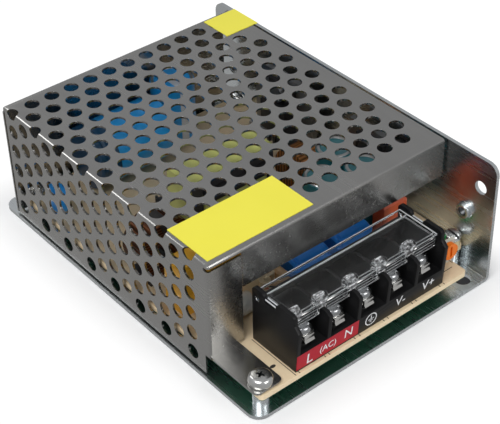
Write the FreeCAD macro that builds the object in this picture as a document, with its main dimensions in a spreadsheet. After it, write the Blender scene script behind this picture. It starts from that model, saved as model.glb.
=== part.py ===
"""Enclosed switching power supply in a two-piece folded metal case, 110 x 78 x 36 mm.

A base chassis (floor and one side wall) carries the circuit board. A perforated cover (roof, other side
wall, front and rear flanges) closes it. A five-pole terminal block with a hinged clear lid stands at the
open front of the board.

Frame: millimetres, +Z up, X across the case, Y along it, the terminals at -Y. The origin is the middle of
the underside of the base.
"""

import FreeCAD, Part
import math
import os

import Sketcher

Vector = FreeCAD.Vector
X_AXIS = Vector(1, 0, 0)
Y_AXIS = Vector(0, 1, 0)

POLES = 5
HOLE_SIDES = 8
# Two coordinates closer than this, in millimetres, are the same place
SAME_PLACE = 0.01

# Driving sizes in millimetres: name, value, meaning
SIZES = (
    ("case_length", 110, "length of the base along Y"),
    ("case_width", 78, "width of the base along X"),
    ("case_height", 36, "height of the case wall"),
    # Base chassis
    ("base_sheet", 1.0, "sheet thickness of the base"),
    ("base_bend", 1.4, "outside radius of the base fold"),
    ("base_corner", 3.5, "plan radius of the free corners of the floor"),
    ("wall_corner", 3.0, "radius of the upper corners of the wall"),
    ("wall_hole_dia", 3.8, "fixing hole through the wall"),
    ("wall_hole_inset", 4.7, "wall hole centre from the end of the wall"),
    ("wall_hole_height", 27.5, "wall hole centre above the underside"),
    ("boss_outer_dia", 4.3, "outside of the drawn, tapped collar"),
    ("boss_bore_dia", 2.6, "bore of the drawn collar"),
    ("boss_depth", 1.3, "how far the collar stands out inward"),
    ("boss_inset", 9.0, "collar centre from the end of the wall"),
    ("boss_height", 18.2, "collar centre above the underside"),
    ("floor_hole_dia", 4.5, "fixing hole through the floor"),
    ("floor_hole_side_inset", 5.8, "floor hole centre from the side edge"),
    ("floor_hole_end_inset", 3.7, "floor hole centre from the end edge"),
    # Perforated cover
    ("cover_sheet", 0.8, "sheet thickness of the cover"),
    ("cover_bend", 0.7, "outside radius of the cover folds"),
    ("cover_left_gap", 0.55, "base floor beyond the cover's side wall"),
    ("cover_right_gap", 0.7, "gap between the roof edge and the base wall"),
    ("cover_front_setback", 17.05, "front flange behind the front of the base"),
    ("cover_rear_setback", 6.42, "rear flange ahead of the rear of the base"),
    ("cover_skirt_gap", 0.6, "gap between the floor and the side wall"),
    ("front_flange_drop", 11.2, "height of the front flange"),
    ("front_flange_start", 10.15, "front flange from the cover's side"),
    ("left_flange_width", 9.85, "width of the flange folded from the side wall"),
    ("seam_slot", 0.9, "slot between the roof and that flange"),
    ("corner_relief", 1.6, "depth of the relief where the two front folds meet"),
    ("tab_length", 16.45, "screw tab ahead of the front flange"),
    ("tab_width", 8.25, "width of the screw tab"),
    ("tab_corner", 1.5, "radius of the tab's free corners"),
    ("side_toe_setback", 2.35, "side wall's toe behind the front flange"),
    ("rear_flange_clear", 2.3, "rear flange short of the roof edge"),
    ("rear_seam", 0.35, "open seam between side wall and rear flange"),
    # Perforation
    ("hole_dia", 4.0, "ventilation hole"),
    ("hole_pitch", 6.15, "hole pitch along a row"),
    ("row_pitch", 5.35, "distance between rows"),
    ("first_row_setback", 7.25, "first row behind the front flange"),
    ("first_hole_inset", 10.75, "second-row hole from the roof edge"),
    ("side_first_drop", 2.9, "uppermost side hole below the roof"),
    # Circuit board
    ("board_thickness", 1.6, "circuit board thickness"),
    ("standoff_height", 5.0, "board underside above the floor"),
    ("standoff_dia", 4.2, "board standoff"),
    ("board_side_clear", 0.3, "board edge to case wall"),
    ("board_front_inset", 0.2, "board front behind the base front"),
    ("board_rear_clear", 1.8, "board rear ahead of the rear flange"),
    ("board_ear_width", 7.3, "width of the ear at the right"),
    ("board_ear_setback", 8.2, "front of that ear behind the board front"),
    ("board_corner", 1.0, "board corner radius"),
    ("board_hole_dia", 3.0, "board fixing holes"),
    ("left_screw_inset", 2.65, "left screws from the board edge"),
    ("left_screw_setback", 3.4, "front left screw behind the board front"),
    ("right_screw_inset", 2.2, "right screws from the board edge"),
    ("right_screw_setback", 2.0, "front right screw behind the ear front"),
    ("rear_screw_inset", 3.6, "rear screws from the board rear"),
    ("screw_dia", 2.8, "board and cover screw shank"),
    ("cover_head_dia", 6.1, "cover screw head"),
    ("cover_head_height", 2.3, "cover screw head height"),
    ("board_head_dia", 4.4, "board screw head"),
    ("board_head_height", 1.7, "board screw head height"),
    ("board_slot_width", 0.8, "slot in the board screws' heads"),
    ("board_slot_depth", 0.7, "its depth"),
    ("cover_recess", 1.0, "depth of the cover screw's cross recess"),
    ("thread_clear", 0.1, "bore of the standoffs over the screws"),
    ("washer_clear", 0.2, "bore of the washers over the screws"),
    ("washer_height", 1.9, "stack of flat and spring washer"),
    # Terminal block
    ("pole_pitch", 9.5, "distance between terminals"),
    ("block_offset", -1.95, "middle of the block along X"),
    ("block_gap", 0.55, "block rear ahead of the front flange"),
    ("block_depth", 15.5, "depth of the block at the board"),
    ("block_lean", 1.0, "how far the front leans out at its shoulder"),
    ("barrier", 1.1, "thickness of the barriers between poles"),
    ("deck_height", 5.2, "contact deck above the board"),
    ("back_height", 11.9, "rear wall above the board"),
    ("back_thick", 2.4, "thickness of the rear wall"),
    ("barrier_height", 13.2, "inner barriers above the board"),
    ("step_height", 12.4, "shoulder step above the board"),
    ("shoulder_height", 13.9, "upper end of the shoulder curve"),
    ("shoulder_setback", 0.5, "front lobe behind the block front"),
    ("notch_height", 14.5, "finger notch above the board"),
    ("lobe_height", 16.7, "end lobes above the board"),
    ("rear_lobe", 4.5, "length of the rear lobe"),
    ("finger_notch", 4.0, "length of the notch between the lobes"),
    ("lobe_round", 1.2, "radius of the lobes"),
    ("contact_thick", 0.85, "contact plate thickness"),
    ("contact_width", 6.4, "contact plate width"),
    ("contact_length", 9.6, "contact plate length"),
    ("contact_boss_dia", 4.4, "tapped boss under the contact"),
    ("contact_boss_depth", 2.2, "depth of that boss"),
    ("contact_gap", 0.3, "contact plate ahead of the rear wall"),
    ("well_clear", 0.3, "well in the deck over the contact's boss"),
    ("well_depth", 4.16, "depth of that well"),
    ("terminal_screw_dia", 3.0, "terminal screw shank"),
    ("terminal_head_dia", 6.0, "terminal screw head"),
    ("terminal_head_height", 2.0, "terminal screw head height"),
    ("terminal_recess", 0.9, "depth of the terminal screws' cross recess"),
    ("screw_run", 0.05, "radial running clearance of the screws"),
    ("screw_setback", 4.2, "terminal screw axis behind the block front"),
    ("clamp_width", 5.2, "clamp plate width"),
    ("clamp_front", 1.2, "clamp plate ahead of the screw axis"),
    ("clamp_back", 3.3, "clamp plate behind the screw axis"),
    ("clamp_thick", 1.95, "clamp plate thickness"),
    ("tongue_width", 3.0, "width of the clamp's ridged tongue"),
    ("tongue_reach", 2.5, "tongue ahead of the screw axis"),
    ("clamp_ridge", 0.35, "depth of the tongue's grooves"),
    # Terminal lid
    ("lid_thick", 1.2, "lid plate thickness"),
    ("lid_lift", 13.7, "lid underside above the board"),
    ("lid_end_gap", 0.35, "gap between the lid and the end walls"),
    ("lid_front", 13.5, "lid front ahead of the block rear"),
    ("lid_rear", 0.5, "lid rear ahead of the block rear"),
    ("lid_bar", 2.9, "depth of the raised hinge bar"),
    ("lid_bar_rise", 0.35, "rise of the hinge bar"),
    ("lid_rim", 0.8, "width of the raised end rims"),
    ("lid_lip", 0.9, "thickness of the front lip"),
    ("lid_lip_drop", 3.3, "front lip below the lid top"),
    ("lid_slot_clear", 0.4, "gap between the lip and each barrier"),
    ("lid_slot_rise", 0.3, "gap between the lid's slots and the barriers' tops"),
    ("lug_width", 3.6, "width of the finger lugs"),
    ("lug_depth", 2.1, "depth of the finger lugs"),
    ("lug_rise", 1.5, "lugs above the lid top"),
    ("lug_crown", 0.9, "radius of the lugs' upper edges"),
    ("hinge_pin_dia", 1.6, "lid hinge pins"),
    ("hinge_pin_length", 0.9, "lid hinge pins into the end walls"),
    ("hinge_clear", 0.08, "radial clearance of the hinge pins"),
    ("hinge_setback", 1.7, "hinge axis ahead of the block rear"),
    ("hinge_height", 13.6, "hinge axis above the board"),
    # Trimmer and lamp
    ("trimmer_gap", 3.8, "trimmer legs to the right of the block"),
    ("trimmer_setback", 5.6, "trimmer plate behind the board front"),
    ("trimmer_width", 5.0, "trimmer carrier plate width"),
    ("trimmer_height", 6.8, "trimmer carrier plate top above the board"),
    ("trimmer_plate", 1.0, "trimmer carrier plate thickness"),
    ("leg_height", 2.2, "free length of its legs"),
    ("trimmer_leg", 1.2, "width of its outer legs"),
    ("trimmer_leg_side", 1.9, "their middles from the trimmer's middle"),
    ("wiper_leg", 2.0, "width of its middle leg"),
    ("wiper_eye_dia", 0.8, "eye in the middle leg"),
    ("wiper_eye_height", 1.1, "that eye above the board"),
    ("rotor_dia", 4.6, "trimmer rotor"),
    ("rotor_thick", 1.4, "trimmer rotor thickness"),
    ("rotor_pin_dia", 1.2, "trimmer rotor pin"),
    ("rotor_gap", 0.1, "gap between the rotor and its plate"),
    ("rotor_slot_width", 0.7, "screwdriver slot in the rotor"),
    ("rotor_slot_length", 3.22, "its length"),
    ("rotor_slot_depth", 0.6, "its depth"),
    ("lamp_dia", 3.0, "lamp body"),
    ("lamp_height", 5.3, "lamp height above the board"),
    ("lamp_rim_dia", 3.5, "flange at the lamp's foot"),
    ("lamp_rim_height", 1.0, "its height"),
    ("lamp_side", 5.3, "lamp centre from the board edge"),
    ("lamp_setback", 4.6, "lamp centre behind the ear front"),
    # Parts on the board
    ("seat", 0.3, "gap below parts that stand on their leads"),
    ("can_foot", 0.4, "bevel of a capacitor can's lower edge, across"),
    ("can_bevel", 0.5, "bevel of its edges, along"),
    ("can_groove_depth", 0.45, "crimp groove of a can"),
    ("can_groove_width", 1.2, "its width"),
    ("can_rim", 0.5, "rolled rim of a can"),
    ("can_slope", 0.2, "slope inside that rim"),
    ("can_sink", 0.3, "sunken top of a can"),
    ("bulk_dia", 18.0, "mains storage capacitor"),
    ("bulk_length", 25.1, "its length"),
    ("bulk_start", 15.85, "its end from the cover's side wall"),
    ("rear_clear", 0.8, "rear parts to the rear flange"),
    ("supply_dia", 12.5, "upright capacitor behind the transformer"),
    ("supply_height", 20.0, "its height"),
    ("neighbour_gap", 1.2, "gap between neighbouring parts"),
    ("varistor_dia", 8.6, "surge varistor disc"),
    ("varistor_thick", 3.4, "its thickness"),
    ("varistor_side", 2.4, "its face from the cover's side wall"),
    ("core_length", 26.2, "transformer core along X"),
    ("core_headroom", 5.1, "transformer core below the roof"),
    ("core_depth", 10.6, "transformer core along Y"),
    ("core_leg", 6.2, "transformer core yokes and legs"),
    ("core_lift", 1.9, "transformer core above the board"),
    ("core_start", 19.9, "transformer from the cover's side wall"),
    ("core_setback", 32.4, "transformer front behind the front flange"),
    ("winding_bulge", 4.0, "winding beyond the core"),
    ("bobbin_wall", 0.9, "bobbin flange thickness"),
    ("bobbin_clear", 0.2, "gap between bobbin and core"),
    ("rail_gap", 0.3, "gap between the pin rails and the core"),
    ("winding_gap", 0.1, "gap between a winding and what carries it"),
    ("winding_side", 0.5, "gap between the winding and the core's outer legs"),
    ("winding_inset", 0.4, "winding short of the bobbin's flanges"),
    ("winding_round", 3.2, "corner radius of the winding"),
    ("tape_thick", 0.4, "tape over the core"),
    ("tape_inset", 0.5, "tape short of the core's faces"),
    ("choke_dia", 14.0, "line choke core diameter"),
    ("choke_bore", 8.4, "its bore"),
    ("choke_thick", 6.0, "its thickness"),
    ("choke_winding", 1.1, "height of its windings"),
    ("choke_side", 10.4, "its centre from the cover's side wall"),
    ("choke_setback", 35.0, "its centre behind the front flange"),
    ("choke_foot", 1.0, "foot plate under the choke"),
    ("choke_foot_length", 12.6, "that plate along X"),
    ("choke_foot_width", 9.0, "along Y"),
    ("choke_seat", 0.2, "choke above its foot plate"),
    ("xcap_length", 18.0, "line filter capacitor along X"),
    ("xcap_width", 7.5, "along Y"),
    ("xcap_height", 14.5, "its height"),
    ("xcap_side", 3.6, "its end from the cover's side wall"),
    ("xcap_setback", 15.95, "its front behind the front flange"),
    ("fuse_dia", 5.2, "fuse body"),
    ("fuse_length", 14.0, "fuse length"),
    ("fuse_setback", 8.0, "fuse axis behind the front flange"),
    ("fuse_cap_dia", 5.5, "fuse end cap"),
    ("fuse_cap_length", 2.4, "its length"),
    ("fuse_cap_inset", 0.8, "its outer face from the fuse's end"),
    ("film_length", 8.0, "film capacitor behind the block, along X"),
    ("film_width", 4.0, "along Y"),
    ("film_height", 13.6, "its height"),
    ("film_side", 10.0, "its end from the base wall"),
    ("film_setback", 2.95, "its front behind the front flange"),
    ("front_cap_dia", 9.6, "lying output capacitors"),
    ("front_cap_length", 11.6, "their length"),
    ("front_cap_setback", 6.95, "their axis behind the front flange"),
    ("front_cap_start", 29.0, "the first one from the cover's side wall"),
    ("front_cap_pitch", 14.0, "distance between them"),
    ("snubber_length", 2.6, "small boxed capacitor along X"),
    ("snubber_width", 6.0, "along Y"),
    ("snubber_height", 8.4, "its height"),
    ("snubber_lead", 2.5, "its front ahead of the lying capacitors' axis"),
    ("output_cap_dia", 10.0, "upright output capacitors"),
    ("output_cap_height", 20.0, "their height"),
    ("output_cap_side", 15.5, "their axis from the base wall"),
    ("output_cap_setback", 13.6, "the first behind the front flange"),
    ("output_cap_pitch", 10.8, "distance between them"),
    ("output_cap_stagger", 3.55, "the third one behind the first"),
    ("sink_plate", 1.8, "heatsink plate thickness"),
    ("sink_side", 2.8, "heatsink outer face from the base wall"),
    ("sink_height", 21.5, "heatsink height"),
    ("rear_sink_gap", 9.0, "rear heatsink ahead of the rear screw's head"),
    ("front_sink_length", 18.0, "front heatsink length"),
    ("sink_gap", 14.63, "distance between the heatsinks"),
    ("front_sink_setback", 12.5, "front heatsink behind the front flange"),
    ("sink_foot", 3.0, "width of the folded heatsink foot"),
    ("package_width", 10.0, "power semiconductor package width"),
    ("package_height", 15.0, "package height with its tab"),
    ("package_thick", 4.4, "package thickness"),
    ("package_tab", 1.3, "package metal tab thickness"),
    ("package_lift", 4.5, "package above the board"),
    ("package_case", 9.3, "height of its moulded case"),
    ("package_hole_drop", 2.6, "its fixing hole below its top"),
    ("package_leg_pitch", 2.54, "distance between its legs"),
    ("package_leg_inset", 1.4, "its legs ahead of the case's middle"),
    ("package_leg_thick", 0.6, "thickness of its legs"),
    ("package_leg_width", 0.9, "width of its legs"),
    ("package_leg_sink", 1.0, "its legs into the case"),
    ("package_head_dia", 5.0, "head of the package's screw"),
    ("package_head_height", 1.8, "its height"),
    ("disc_dia", 8.0, "safety capacitor disc"),
    ("disc_thick", 3.6, "its thickness"),
    ("disc_gap", 0.2, "gap between that disc and the transformer core's side"),
    ("box_bevel", 0.6, "bevel of the boxed capacitors' upper edges"),
    ("coil_dia", 12.4, "output choke core diameter"),
    ("coil_bore", 6.4, "its bore"),
    ("coil_thick", 5.0, "its thickness"),
    ("coil_winding", 0.9, "height of its winding"),
    ("coil_inset", 1.4, "its middle inward of the output capacitors' row"),
    ("coil_setback", 22.14, "its middle behind the first of them"),
    ("diode_dia", 2.7, "rectifier diode body"),
    ("diode_length", 5.2, "its length"),
    ("diode_pitch", 4.2, "distance between the diodes"),
    ("diode_start", 2.0, "first diode from the transformer core's end"),
    ("diode_gap", 2.5, "diodes behind the transformer, over the usual gap"),
    ("diode_lead", 1.8, "diode's lead before its bend"),
    ("lead_dia", 0.8, "component lead"),
    ("resistor_dia", 3.0, "standing resistor body"),
    ("resistor_length", 7.6, "its length"),
    ("resistor_loop", 0.8, "bent lead above the body"),
    ("resistor_span", 2.6, "distance between its leads"),
    ("front_resistor_side", 6.2, "front resistor before the lying capacitors, over the usual gap"),
    ("rear_resistor_side", 9.0, "rear resistor beyond the transformer core's end"),
    ("rear_resistor_setback", 6.0, "rear resistor behind the transformer core"),
    ("chip_length", 9.4, "dual in-line package length"),
    ("chip_width", 6.4, "its width"),
    ("chip_height", 3.3, "its height"),
    ("chip_lift", 0.8, "dual in-line packages above the board"),
    ("chip_setback", 10.0, "controller behind the transformer's winding"),
    ("pin_pitch", 2.3, "distance between the packages' pins"),
    ("pin_gap", 0.2, "pins' middle outside the package"),
    ("pin_thick", 0.6, "thickness of the pins"),
    ("pin_width", 0.7, "width of the pins"),
    ("coupler_length", 4.8, "optocoupler length"),
    ("coupler_gap", 0.4, "optocoupler beyond the usual gap"),
    # Labels
    ("label_thick", 0.15, "sticker thickness"),
    ("front_label_length", 31.8, "front label along X"),
    ("front_label_depth", 15.0, "front label along Y"),
    ("front_label_side", 1.45, "front label from the cover's side"),
    ("front_label_setback", 1.75, "front label behind the front flange"),
    ("seal_length", 11.1, "seal label along X"),
    ("seal_depth", 10.4, "seal label along Y"),
    ("seal_rear", 0.4, "seal label from the rear fold"),
    # Shaping
    ("cutter_reach", 1.0, "how far a cutter runs past the face that it opens"),
)

doc = FreeCAD.newDocument("EnclosedPowerSupply")
dim = doc.addObject("Spreadsheet::Sheet", "dim")
for row, (alias, value, meaning) in enumerate(SIZES, start=1):
    dim.set(f"A{row}", meaning)
    dim.set(f"B{row}", str(value))
    dim.setAlias(f"B{row}", alias)
doc.recompute()

# Planes that several pieces share, as expressions of the sheet
HALF_LENGTH = "(dim.case_length / 2)"
HALF_WIDTH = "(dim.case_width / 2)"
WALL_INSIDE = f"({HALF_WIDTH} - dim.base_sheet)"
SIDE = f"(dim.cover_left_gap - {HALF_WIDTH})"
SIDE_INSIDE = f"({SIDE} + dim.cover_sheet)"
ROOF_EDGE = f"({WALL_INSIDE} - dim.cover_right_gap)"
ROOF = "(dim.case_height)"
ROOF_UNDER = f"({ROOF} - dim.cover_sheet)"
FRONT = f"(dim.cover_front_setback - {HALF_LENGTH})"
FRONT_INSIDE = f"({FRONT} + dim.cover_sheet)"
REAR = f"({HALF_LENGTH} - dim.cover_rear_setback)"
REAR_INSIDE = f"({REAR} - dim.cover_sheet)"
SKIRT = "(dim.base_sheet + dim.cover_skirt_gap)"
BOARD_UNDER = "(dim.base_sheet + dim.standoff_height)"
BOARD = f"({BOARD_UNDER} + dim.board_thickness)"
TAB_TOP = f"({BOARD} + dim.cover_sheet)"
BOARD_LEFT = f"({SIDE_INSIDE} + dim.board_side_clear)"
BOARD_RIGHT = f"({WALL_INSIDE} - dim.board_side_clear)"
BOARD_FRONT = f"(dim.board_front_inset - {HALF_LENGTH})"
BOARD_REAR = f"({REAR_INSIDE} - dim.board_rear_clear)"
EAR_FRONT = f"({BOARD_FRONT} + dim.board_ear_setback)"
SEAT = f"({BOARD} + dim.seat)"

LEFT_SCREW_X = f"({BOARD_LEFT} + dim.left_screw_inset)"
RIGHT_SCREW_X = f"({BOARD_RIGHT} - dim.right_screw_inset)"
REAR_SCREW_Y = f"({BOARD_REAR} - dim.rear_screw_inset)"
COVER_SCREW = (LEFT_SCREW_X, f"({BOARD_FRONT} + dim.left_screw_setback)")
BOARD_SCREWS = (
    (RIGHT_SCREW_X, f"({EAR_FRONT} + dim.right_screw_setback)"),
    (LEFT_SCREW_X, REAR_SCREW_Y),
    (RIGHT_SCREW_X, REAR_SCREW_Y),
)

BLOCK_REAR = f"({FRONT} - dim.block_gap)"
BLOCK_FRONT = f"({BLOCK_REAR} - dim.block_depth)"
BLOCK_SPAN = f"({POLES} * dim.pole_pitch + dim.barrier)"
BLOCK_LEFT = f"(dim.block_offset - {BLOCK_SPAN} / 2)"
BLOCK_RIGHT = f"(dim.block_offset + {BLOCK_SPAN} / 2)"
DECK = f"({BOARD} + dim.deck_height)"
CONTACT_TOP = f"({DECK} + dim.contact_thick)"
CLAMP_TOP = f"({CONTACT_TOP} + dim.clamp_thick)"
SCREW_Y = f"({BLOCK_FRONT} + dim.screw_setback)"
HINGE_Y = f"({BLOCK_REAR} - dim.hinge_setback)"
HINGE_Z = f"({BOARD} + dim.hinge_height)"
LID_UNDER = f"({BOARD} + dim.lid_lift)"
LID_TOP = f"({LID_UNDER} + dim.lid_thick)"
LID_FRONT = f"({BLOCK_REAR} - dim.lid_front)"
LID_REAR = f"({BLOCK_REAR} - dim.lid_rear)"
LID_LEFT = f"({BLOCK_LEFT} + dim.barrier + dim.lid_end_gap)"
LID_RIGHT = f"({BLOCK_RIGHT} - dim.barrier - dim.lid_end_gap)"


def pole_x(index):
    """Expression of the middle of one pole along X."""
    return f"({BLOCK_LEFT} + dim.barrier / 2 + {index + 0.5} * dim.pole_pitch)"


def number(expression):
    """Present value of an expression of the sheet."""
    return float(dim.evalExpression(expression))


# Sketches and features

def new_body(label):
    """Empty body whose label names its node."""
    body = doc.addObject("PartDesign::Body", label)
    body.Label = label
    return body


def origin_plane(body, role):
    """One of the body's own origin planes."""
    return next(item for item in body.Origin.OriginFeatures if item.Role == role)


def new_sketch(body, name, role, offset="0"):
    """Sketch on an origin plane, moved along the plane's normal by an expression.

    The normals are +Z on XY_Plane, -Y on XZ_Plane and +X on YZ_Plane.
    """
    sketch = body.newObject("Sketcher::SketchObject", f"{body.Name}_{name}")
    sketch.AttachmentSupport = [(origin_plane(body, role), "")]
    sketch.MapMode = "FlatFace"
    sketch.setExpression("AttachmentOffset.Base.z", offset)
    return sketch


def pin_point(sketch, geometry, vertex, place):
    """Hold one vertex at a pair of expressions."""
    for kind, expression in zip(("DistanceX", "DistanceY"), place):
        held = Sketcher.Constraint(kind, -1, 1, geometry, vertex, number(expression))
        index = sketch.addConstraint(held)
        sketch.setExpression(f"Constraints[{index}]", expression)


def outline(sketch, places):
    """Closed run of straight lines through pairs of expressions."""
    corners = [Vector(number(across), number(up), 0) for across, up in places]
    lines = []
    for start, end in zip(corners, corners[1:] + corners[:1]):
        lines.append(sketch.addGeometry(Part.LineSegment(start, end), False))
    for line, following in zip(lines, lines[1:] + lines[:1]):
        sketch.addConstraint(Sketcher.Constraint("Coincident", line, 2, following, 1))
    for line, place in zip(lines, places):
        pin_point(sketch, line, 1, place)


def rectangle(sketch, across, up):
    """Rectangle between two pairs of expressions."""
    low, high = across
    bottom, top = up
    outline(sketch, [(low, bottom), (high, bottom), (high, top), (low, top)])


def circle(sketch, place, diameter):
    """Circle with its centre at a pair of expressions."""
    centre = Vector(number(place[0]), number(place[1]), 0)
    ring = sketch.addGeometry(Part.Circle(centre, Vector(0, 0, 1), number(diameter) / 2), False)
    pin_point(sketch, ring, 3, place)
    index = sketch.addConstraint(Sketcher.Constraint("Diameter", ring, number(diameter)))
    sketch.setExpression(f"Constraints[{index}]", diameter)


def pad(body, name, sketch, length, backward=False, both=False):
    """Pad a sketch by an expression, backward against the sketch normal."""
    feature = body.newObject("PartDesign::Pad", f"{body.Name}_{name}")
    feature.Profile = sketch
    feature.setExpression("Length", length)
    feature.Reversed = backward
    feature.Midplane = both
    doc.recompute()
    return feature


def pocket(body, name, sketch, length=None, forward=False):
    """Pocket a sketch against its normal, or both ways through all where no length is given."""
    before = body.Tip.Shape.Volume
    feature = body.newObject("PartDesign::Pocket", f"{body.Name}_{name}")
    feature.Profile = sketch
    if length is None:
        feature.Type = "ThroughAll"
        feature.Midplane = True
    else:
        feature.setExpression("Length", length)
        feature.Reversed = forward
    doc.recompute()
    if feature.Shape.Volume >= before:
        raise RuntimeError(f"{feature.Name} cuts nothing")
    return feature


def pattern(body, name, feature, sketch, pitch, count):
    """Repeat a feature along the sketch's X."""
    repeat = body.newObject("PartDesign::LinearPattern", f"{body.Name}_{name}")
    repeat.Originals = [feature]
    repeat.Direction = (sketch, ["H_Axis"])
    repeat.Mode = "Spacing"
    repeat.Occurrences = count
    repeat.setExpression("Offset", pitch)
    body.Tip = repeat
    doc.recompute()
    return repeat


def edges_at(shape, x=None, y=None, z=None, within=None):
    """Names of the edges that lie at the given coordinates, each an expression."""
    wanted = [None if place is None else number(place) for place in (x, y, z)]
    names = []
    for index, edge in enumerate(shape.Edges, start=1):
        points = [edge.valueAt(edge.FirstParameter), edge.valueAt(edge.LastParameter), edge.CenterOfMass]
        fits = all(
            target is None or abs(point[axis] - target) < SAME_PLACE
            for point in points
            for axis, target in enumerate(wanted)
        )
        if fits and (within is None or within(edge.CenterOfMass)):
            names.append(f"Edge{index}")
    return names


def near_any(value, places):
    """True where a coordinate meets one of several expressions."""
    return any(abs(value - number(place)) < SAME_PLACE for place in places)


def fillet(body, name, edges, radius):
    """Round the named edges of the body's tip."""
    tip = body.Tip
    feature = body.newObject("PartDesign::Fillet", f"{body.Name}_{name}")
    feature.Base = (tip, edges)
    feature.setExpression("Radius", radius)
    doc.recompute()
    return feature


# Primitives and booleans

def block(label, x, y, z):
    """Box between three pairs of expressions."""
    item = doc.addObject("Part::Box", label)
    for name, (low, high) in zip(("Length", "Width", "Height"), (x, y, z)):
        item.setExpression(name, f"{high} - {low}")
    for axis, (low, high) in zip("xyz", (x, y, z)):
        item.setExpression(f"Placement.Base.{axis}", low)
    return item


TURNS = {
    "x": FreeCAD.Rotation(Y_AXIS, 90),
    "y": FreeCAD.Rotation(X_AXIS, -90),
    "z": FreeCAD.Rotation(),
}


def rod(label, axis, start, diameter, length):
    """Cylinder along an axis from a start point given by three expressions."""
    item = doc.addObject("Part::Cylinder", label)
    item.Placement.Rotation = TURNS[axis]
    item.setExpression("Radius", f"{diameter} / 2")
    item.setExpression("Height", length)
    for name, place in zip("xyz", start):
        item.setExpression(f"Placement.Base.{name}", place)
    return item


def join(label, items):
    """One solid from several."""
    item = doc.addObject("Part::MultiFuse", label)
    item.Shapes = items
    item.Refine = True
    return item


def cut(label, base, tool):
    """Base with the tool removed."""
    item = doc.addObject("Part::Cut", label)
    item.Base = base
    item.Tool = tool
    return item


def group(label, items):
    """Several separate solids in one node."""
    item = doc.addObject("Part::Compound", label)
    item.Links = items
    return item


def shifted(place, amount):
    """Expression moved by another."""
    return f"({place} + {amount})"


def centred(place, width):
    """Pair of expressions on either side of a middle."""
    return f"({place} - {width} / 2)", f"({place} + {width} / 2)"


# Base chassis: floor and right-hand wall folded from one sheet

def base_chassis():
    """Folded floor and wall with fixing holes and drawn collars."""
    body = new_body("base_chassis")
    section = new_sketch(body, "section", "XZ_Plane")
    left = f"(-{HALF_WIDTH})"
    outline(section, [
        (left, "0"),
        (HALF_WIDTH, "0"),
        (HALF_WIDTH, ROOF),
        (WALL_INSIDE, ROOF),
        (WALL_INSIDE, "dim.base_sheet"),
        (left, "dim.base_sheet"),
    ])
    pad(body, "sheet", section, "dim.case_length", both=True)
    fillet(body, "fold", edges_at(body.Tip.Shape, x=HALF_WIDTH, z="0"), "dim.base_bend")
    inner_fold = edges_at(body.Tip.Shape, x=WALL_INSIDE, z="dim.base_sheet")
    fillet(body, "inner_fold", inner_fold, "dim.base_bend - dim.base_sheet")
    fillet(body, "floor_corners", edges_at(body.Tip.Shape, x=left, within=is_upright), "dim.base_corner")
    ends = edges_at(body.Tip.Shape, z=ROOF, y=HALF_LENGTH)
    ends += edges_at(body.Tip.Shape, z=ROOF, y=f"-{HALF_LENGTH}")
    fillet(body, "wall_corners", ends, "dim.wall_corner")

    collar_y = f"({HALF_LENGTH} - dim.boss_inset)"
    collars = new_sketch(body, "collars", "YZ_Plane", WALL_INSIDE)
    for place in (f"-{collar_y}", collar_y):
        circle(collars, (place, "dim.boss_height"), "dim.boss_outer_dia")
    pad(body, "collar", collars, "dim.boss_depth", backward=True)
    bores = new_sketch(body, "bores", "YZ_Plane", WALL_INSIDE)
    for place in (f"-{collar_y}", collar_y):
        circle(bores, (place, "dim.boss_height"), "dim.boss_bore_dia")
    hole_y = f"({HALF_LENGTH} - dim.wall_hole_inset)"
    for place in (f"-{hole_y}", hole_y):
        circle(bores, (place, "dim.wall_hole_height"), "dim.wall_hole_dia")
    pocket(body, "bore", bores)

    floor = new_sketch(body, "floor_holes", "XY_Plane")
    across = f"({HALF_WIDTH} - dim.floor_hole_side_inset)"
    along = f"({HALF_LENGTH} - dim.floor_hole_end_inset)"
    circle(floor, (across, f"-{along}"), "dim.floor_hole_dia")
    circle(floor, (f"-{across}", along), "dim.floor_hole_dia")
    pocket(body, "floor_hole", floor)
    return body


def is_upright(point):
    """True half-way up the floor sheet, which only its upright edges' middles are."""
    return abs(point.z - number("dim.base_sheet") / 2) < SAME_PLACE


# Perforated cover: roof, left-hand wall and flanges folded from one sheet

# A hole on the fold is punched from below the sharp corner and with half the width of the others
FOLD_SINK = 0.6
FOLD_WIDTH = 0.5
ROWS = 15
ROOF_HOLES = 12
SIDE_HOLES = 5


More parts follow.
